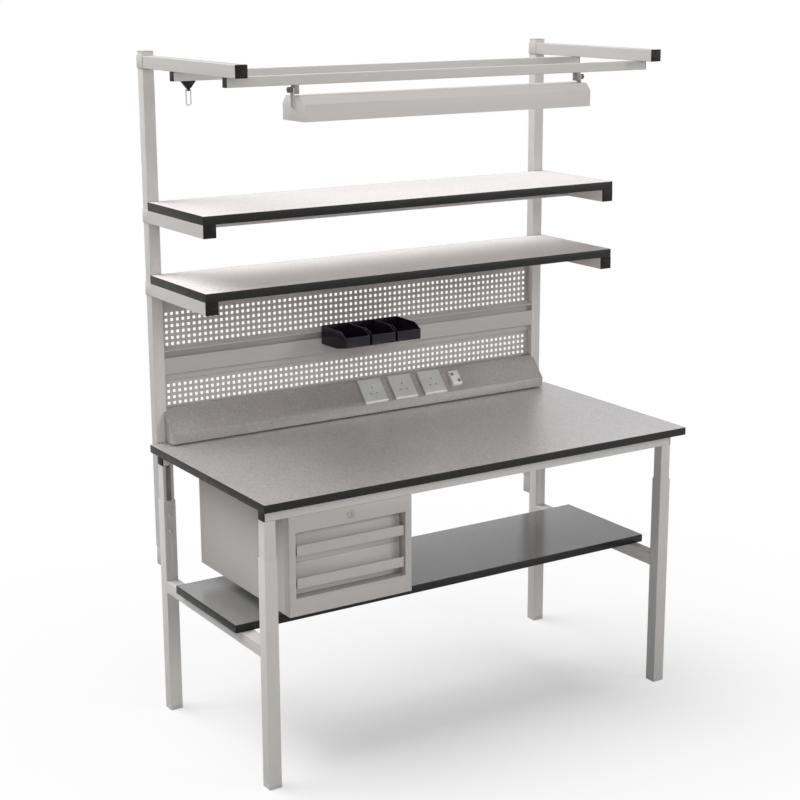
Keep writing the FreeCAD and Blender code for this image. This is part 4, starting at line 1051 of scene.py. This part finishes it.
@dataclass
class LampFrame:
    """The lamp arms and rails, the lamp, its carriers and knobs, the trolley and the hook."""

    shop: Workshop
    # sizes of the dark bands of painted shade on the end caps
    strap_shade_width: float = 14.0 * MM
    strap_shade_over: float = 0.12 * MM
    strap_shade_depth: float = 0.5 * MM
    strap_shade_foot: float = 3.0 * MM
    strap_shade_top: float = 20.0 * MM

    def dress(self) -> None:
        """Soften and paint each piece."""
        self.shop.refined("lamp_frame", Finish.FRAME, 0.5 * MM, "lamp_arms")
        self.shop.refined("lamp_frame", Finish.BLACK, 1.0 * MM, "lamp_arm_end_plugs", segments=3)
        self.shop.refined("lamp_frame", Finish.FRAME, 0.4 * MM, "lamp_rails")
        self.shop.refined("lamp_carriage", Finish.CARRIER, 0.7 * MM, "lamp_carriers")
        self.shop.refined("lamp", Finish.LAMP, 0.4 * MM, "lamp_housing")
        self.shop.refined("lamp", Finish.LAMP_END, 0.8 * MM, "lamp_end_caps")
        self.shop.painted(Finish.OPAL, "lamp_diffuser")
        self.shop.painted(Finish.TUBE, "lamp_tubes")
        for side in ("left", "right"):
            self.shop.refined("knob_" + side, Finish.KNOB, 0.8 * MM, "lamp_knob_" + side)
        self.shop.refined("trolley", Finish.BLACK, 0.6 * MM, "hook_trolley")
        self.shop.painted(Finish.ZINC, "hook_loop")
        self.painted_strap_shade()

    def painted_strap_shade(self) -> None:
        """Lay a dark band on the outer face of each end cap along its strap, as painted shade."""
        mesh = bmesh.new()
        low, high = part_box("lamp_end_caps")
        housing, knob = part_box("lamp_housing"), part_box("lamp_knob_left")
        middle = (knob[0].y + knob[1].y) / 2
        foot = (housing[0].z + housing[1].z) / 2 + self.strap_shade_foot
        half = self.strap_shade_width / 2
        for left, right in ((low.x - self.strap_shade_over, low.x + self.strap_shade_depth),
                            (high.x - self.strap_shade_depth, high.x + self.strap_shade_over)):
            add_block(mesh, (left, middle - half, foot), (right, middle + half, high.z - self.strap_shade_top))
        # the carrier's dark grey, here laid on the end caps as painted shade
        self.shop.fitted(loose("lamp_strap_covers", mesh), "lamp", Finish.CARRIER)


# ---- stage
@dataclass(frozen=True)
class AreaLamp:
    """A square studio lamp."""

    name: str
    place: Triple
    size: float
    power: float


@dataclass
class Stage:
    """Floor, world, lamps and camera."""

    floor_reach: float = 30.0
    floor_colour: Triple = (0.50, 0.50, 0.50)
    floor_lift: float = 0.36
    footprint: Triple = (0.45, 0.25, 1.0)
    whitening: float = 0.45
    world_strength: float = 0.04
    camera_place: Triple = (-2.83505, -4.3603, 2.27538)
    camera_yaw: float = 0.565708
    camera_pitch: float = 0.245529
    camera_roll: float = -0.003325
    lens: float = 78.09
    sensor: float = 36.0
    sight: float = 100.0
    aim: Triple = (0.0, 0.0, 0.9)
    lamps: tuple[AreaLamp, ...] = (
        AreaLamp("rear_left", (-14.5, 17.2, 27.7), 26.0, 11900.0),
        AreaLamp("left", (-17.5, 0.0, 31.2), 20.0, 3200.0),
        AreaLamp("front_left", (-12.9, -18.4, 9.0), 8.0, 1000.0),
        AreaLamp("front", (0.0, -15.6, 10.0), 8.0, 480.0),
        AreaLamp("front_right", (14.8, -17.7, 7.6), 8.0, 1580.0),
    )

    def set(self) -> None:
        """Build the stage."""
        self.floor()
        self.world()
        for lamp in self.lamps:
            self.lamp(lamp)
        self.camera()

    def floor(self) -> None:
        """Lay a large floor under the bench."""
        mesh = bmesh.new()
        bmesh.ops.create_grid(mesh, x_segments=1, y_segments=1, size=self.floor_reach)
        floor = loose("floor", mesh, outward=False)
        floor.data.materials.append(self.floor_finish())

    def floor_finish(self) -> Material:
        """A pale floor that keeps the bench's shadow and goes to white away from it.

        Returns:
            The material.
        """
        shader = Shader("floor")
        seen = shader.seen_directly()
        matt = shader.add("ShaderNodeBsdfDiffuse", 0, {"Color": self.floor_colour})
        lift = shader.add("ShaderNodeEmission", 0, {"Strength": shader.maths("MULTIPLY", seen, self.floor_lift)})
        near = shader.add("ShaderNodeAddShader", 0, {0: matt, 1: lift})
        outside = shader.place
        for operation, second in (("ABSOLUTE", (0.0, 0.0, 0.0)), ("SUBTRACT", self.footprint),
                                  ("MAXIMUM", (0.0, 0.0, 0.0))):
            outside = shader.add("ShaderNodeVectorMath", "Vector", {0: outside, 1: second}, operation=operation)
        distance = shader.add("ShaderNodeVectorMath", "Value", {0: outside}, operation="LENGTH")
        share = shader.maths("POWER", 1.0 / math.e, shader.maths("DIVIDE", distance, self.whitening))
        far = shader.maths("MULTIPLY", shader.maths("SUBTRACT", 1.0, share), seen)
        white = shader.add("ShaderNodeEmission", 0)
        return shader.finished(shader.add("ShaderNodeMixShader", 0, {0: far, 1: near, 2: white}))

    def world(self) -> None:
        """Even studio light, white where the camera and reflections see it."""
        world = bpy.data.worlds.new("studio")
        bpy.context.scene.world = world
        world.use_nodes = True
        world.node_tree.nodes.clear()
        tree = Tree(world.node_tree)
        light = tree.add("ShaderNodeBackground", 0, {"Color": WHITE, "Strength": self.world_strength})
        white = tree.add("ShaderNodeBackground", 0, {"Color": WHITE})
        mix = tree.add("ShaderNodeMixShader", 0, {0: tree.seen_directly(), 1: light, 2: white})
        tree.add("ShaderNodeOutputWorld", None, {"Surface": mix})

    def lamp(self, lamp: AreaLamp) -> None:
        """Add a square area lamp that points at the bench.

        Args:
            lamp: its place, size and power.
        """
        light = bpy.data.lights.new(lamp.name, "AREA")
        light.shape = "SQUARE"
        light.size = lamp.size
        light.energy = lamp.power
        place = Vector(lamp.place)
        turn = (Vector(self.aim) - place).to_track_quat("-Z", "Y").to_matrix().to_4x4()
        shown(lamp.name, light).matrix_world = Matrix.Translation(place) @ turn

    def camera(self) -> None:
        """Place the camera."""
        yaw, pitch, roll = self.camera_yaw, self.camera_pitch, self.camera_roll
        forward = Vector((math.sin(yaw) * math.cos(pitch), math.cos(yaw) * math.cos(pitch), -math.sin(pitch)))
        right = Vector((math.cos(yaw), -math.sin(yaw), 0.0))
        up = right.cross(forward)
        right, up = (right * math.cos(roll) + up * math.sin(roll), up * math.cos(roll) - right * math.sin(roll))
        data = bpy.data.cameras.new("camera")
        data.lens = self.lens
        data.sensor_width = self.sensor
        data.clip_end = self.sight
        thing = shown("camera", data)
        thing.matrix_world = (Matrix.Translation(Vector(self.camera_place))
                              @ Matrix((right, up, -forward)).transposed().to_4x4())
        bpy.context.scene.camera = thing


def main() -> None:
    """Dress the bench, piece by piece, and set the stage."""
    logging.basicConfig(level=logging.INFO, format="%(name)s %(message)s")
    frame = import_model()
    shop = Workshop(frame["nodes"])
    for part in (SteelFrame(shop, FastenerKit(shop)), EdgedBoards(shop), PerforatedPanels(shop), Trunking(shop),
                 StorageBins(shop), DrawerUnit(shop), ReagentShelves(shop), LampFrame(shop)):
        log.info("building %s", type(part).__name__)
        part.dress()
    Stage().set()
    bpy.context.scene.view_settings.view_transform = "Standard"
    log.info("%d pieces made", shop.made)


if __name__ == "__main__":
    main()
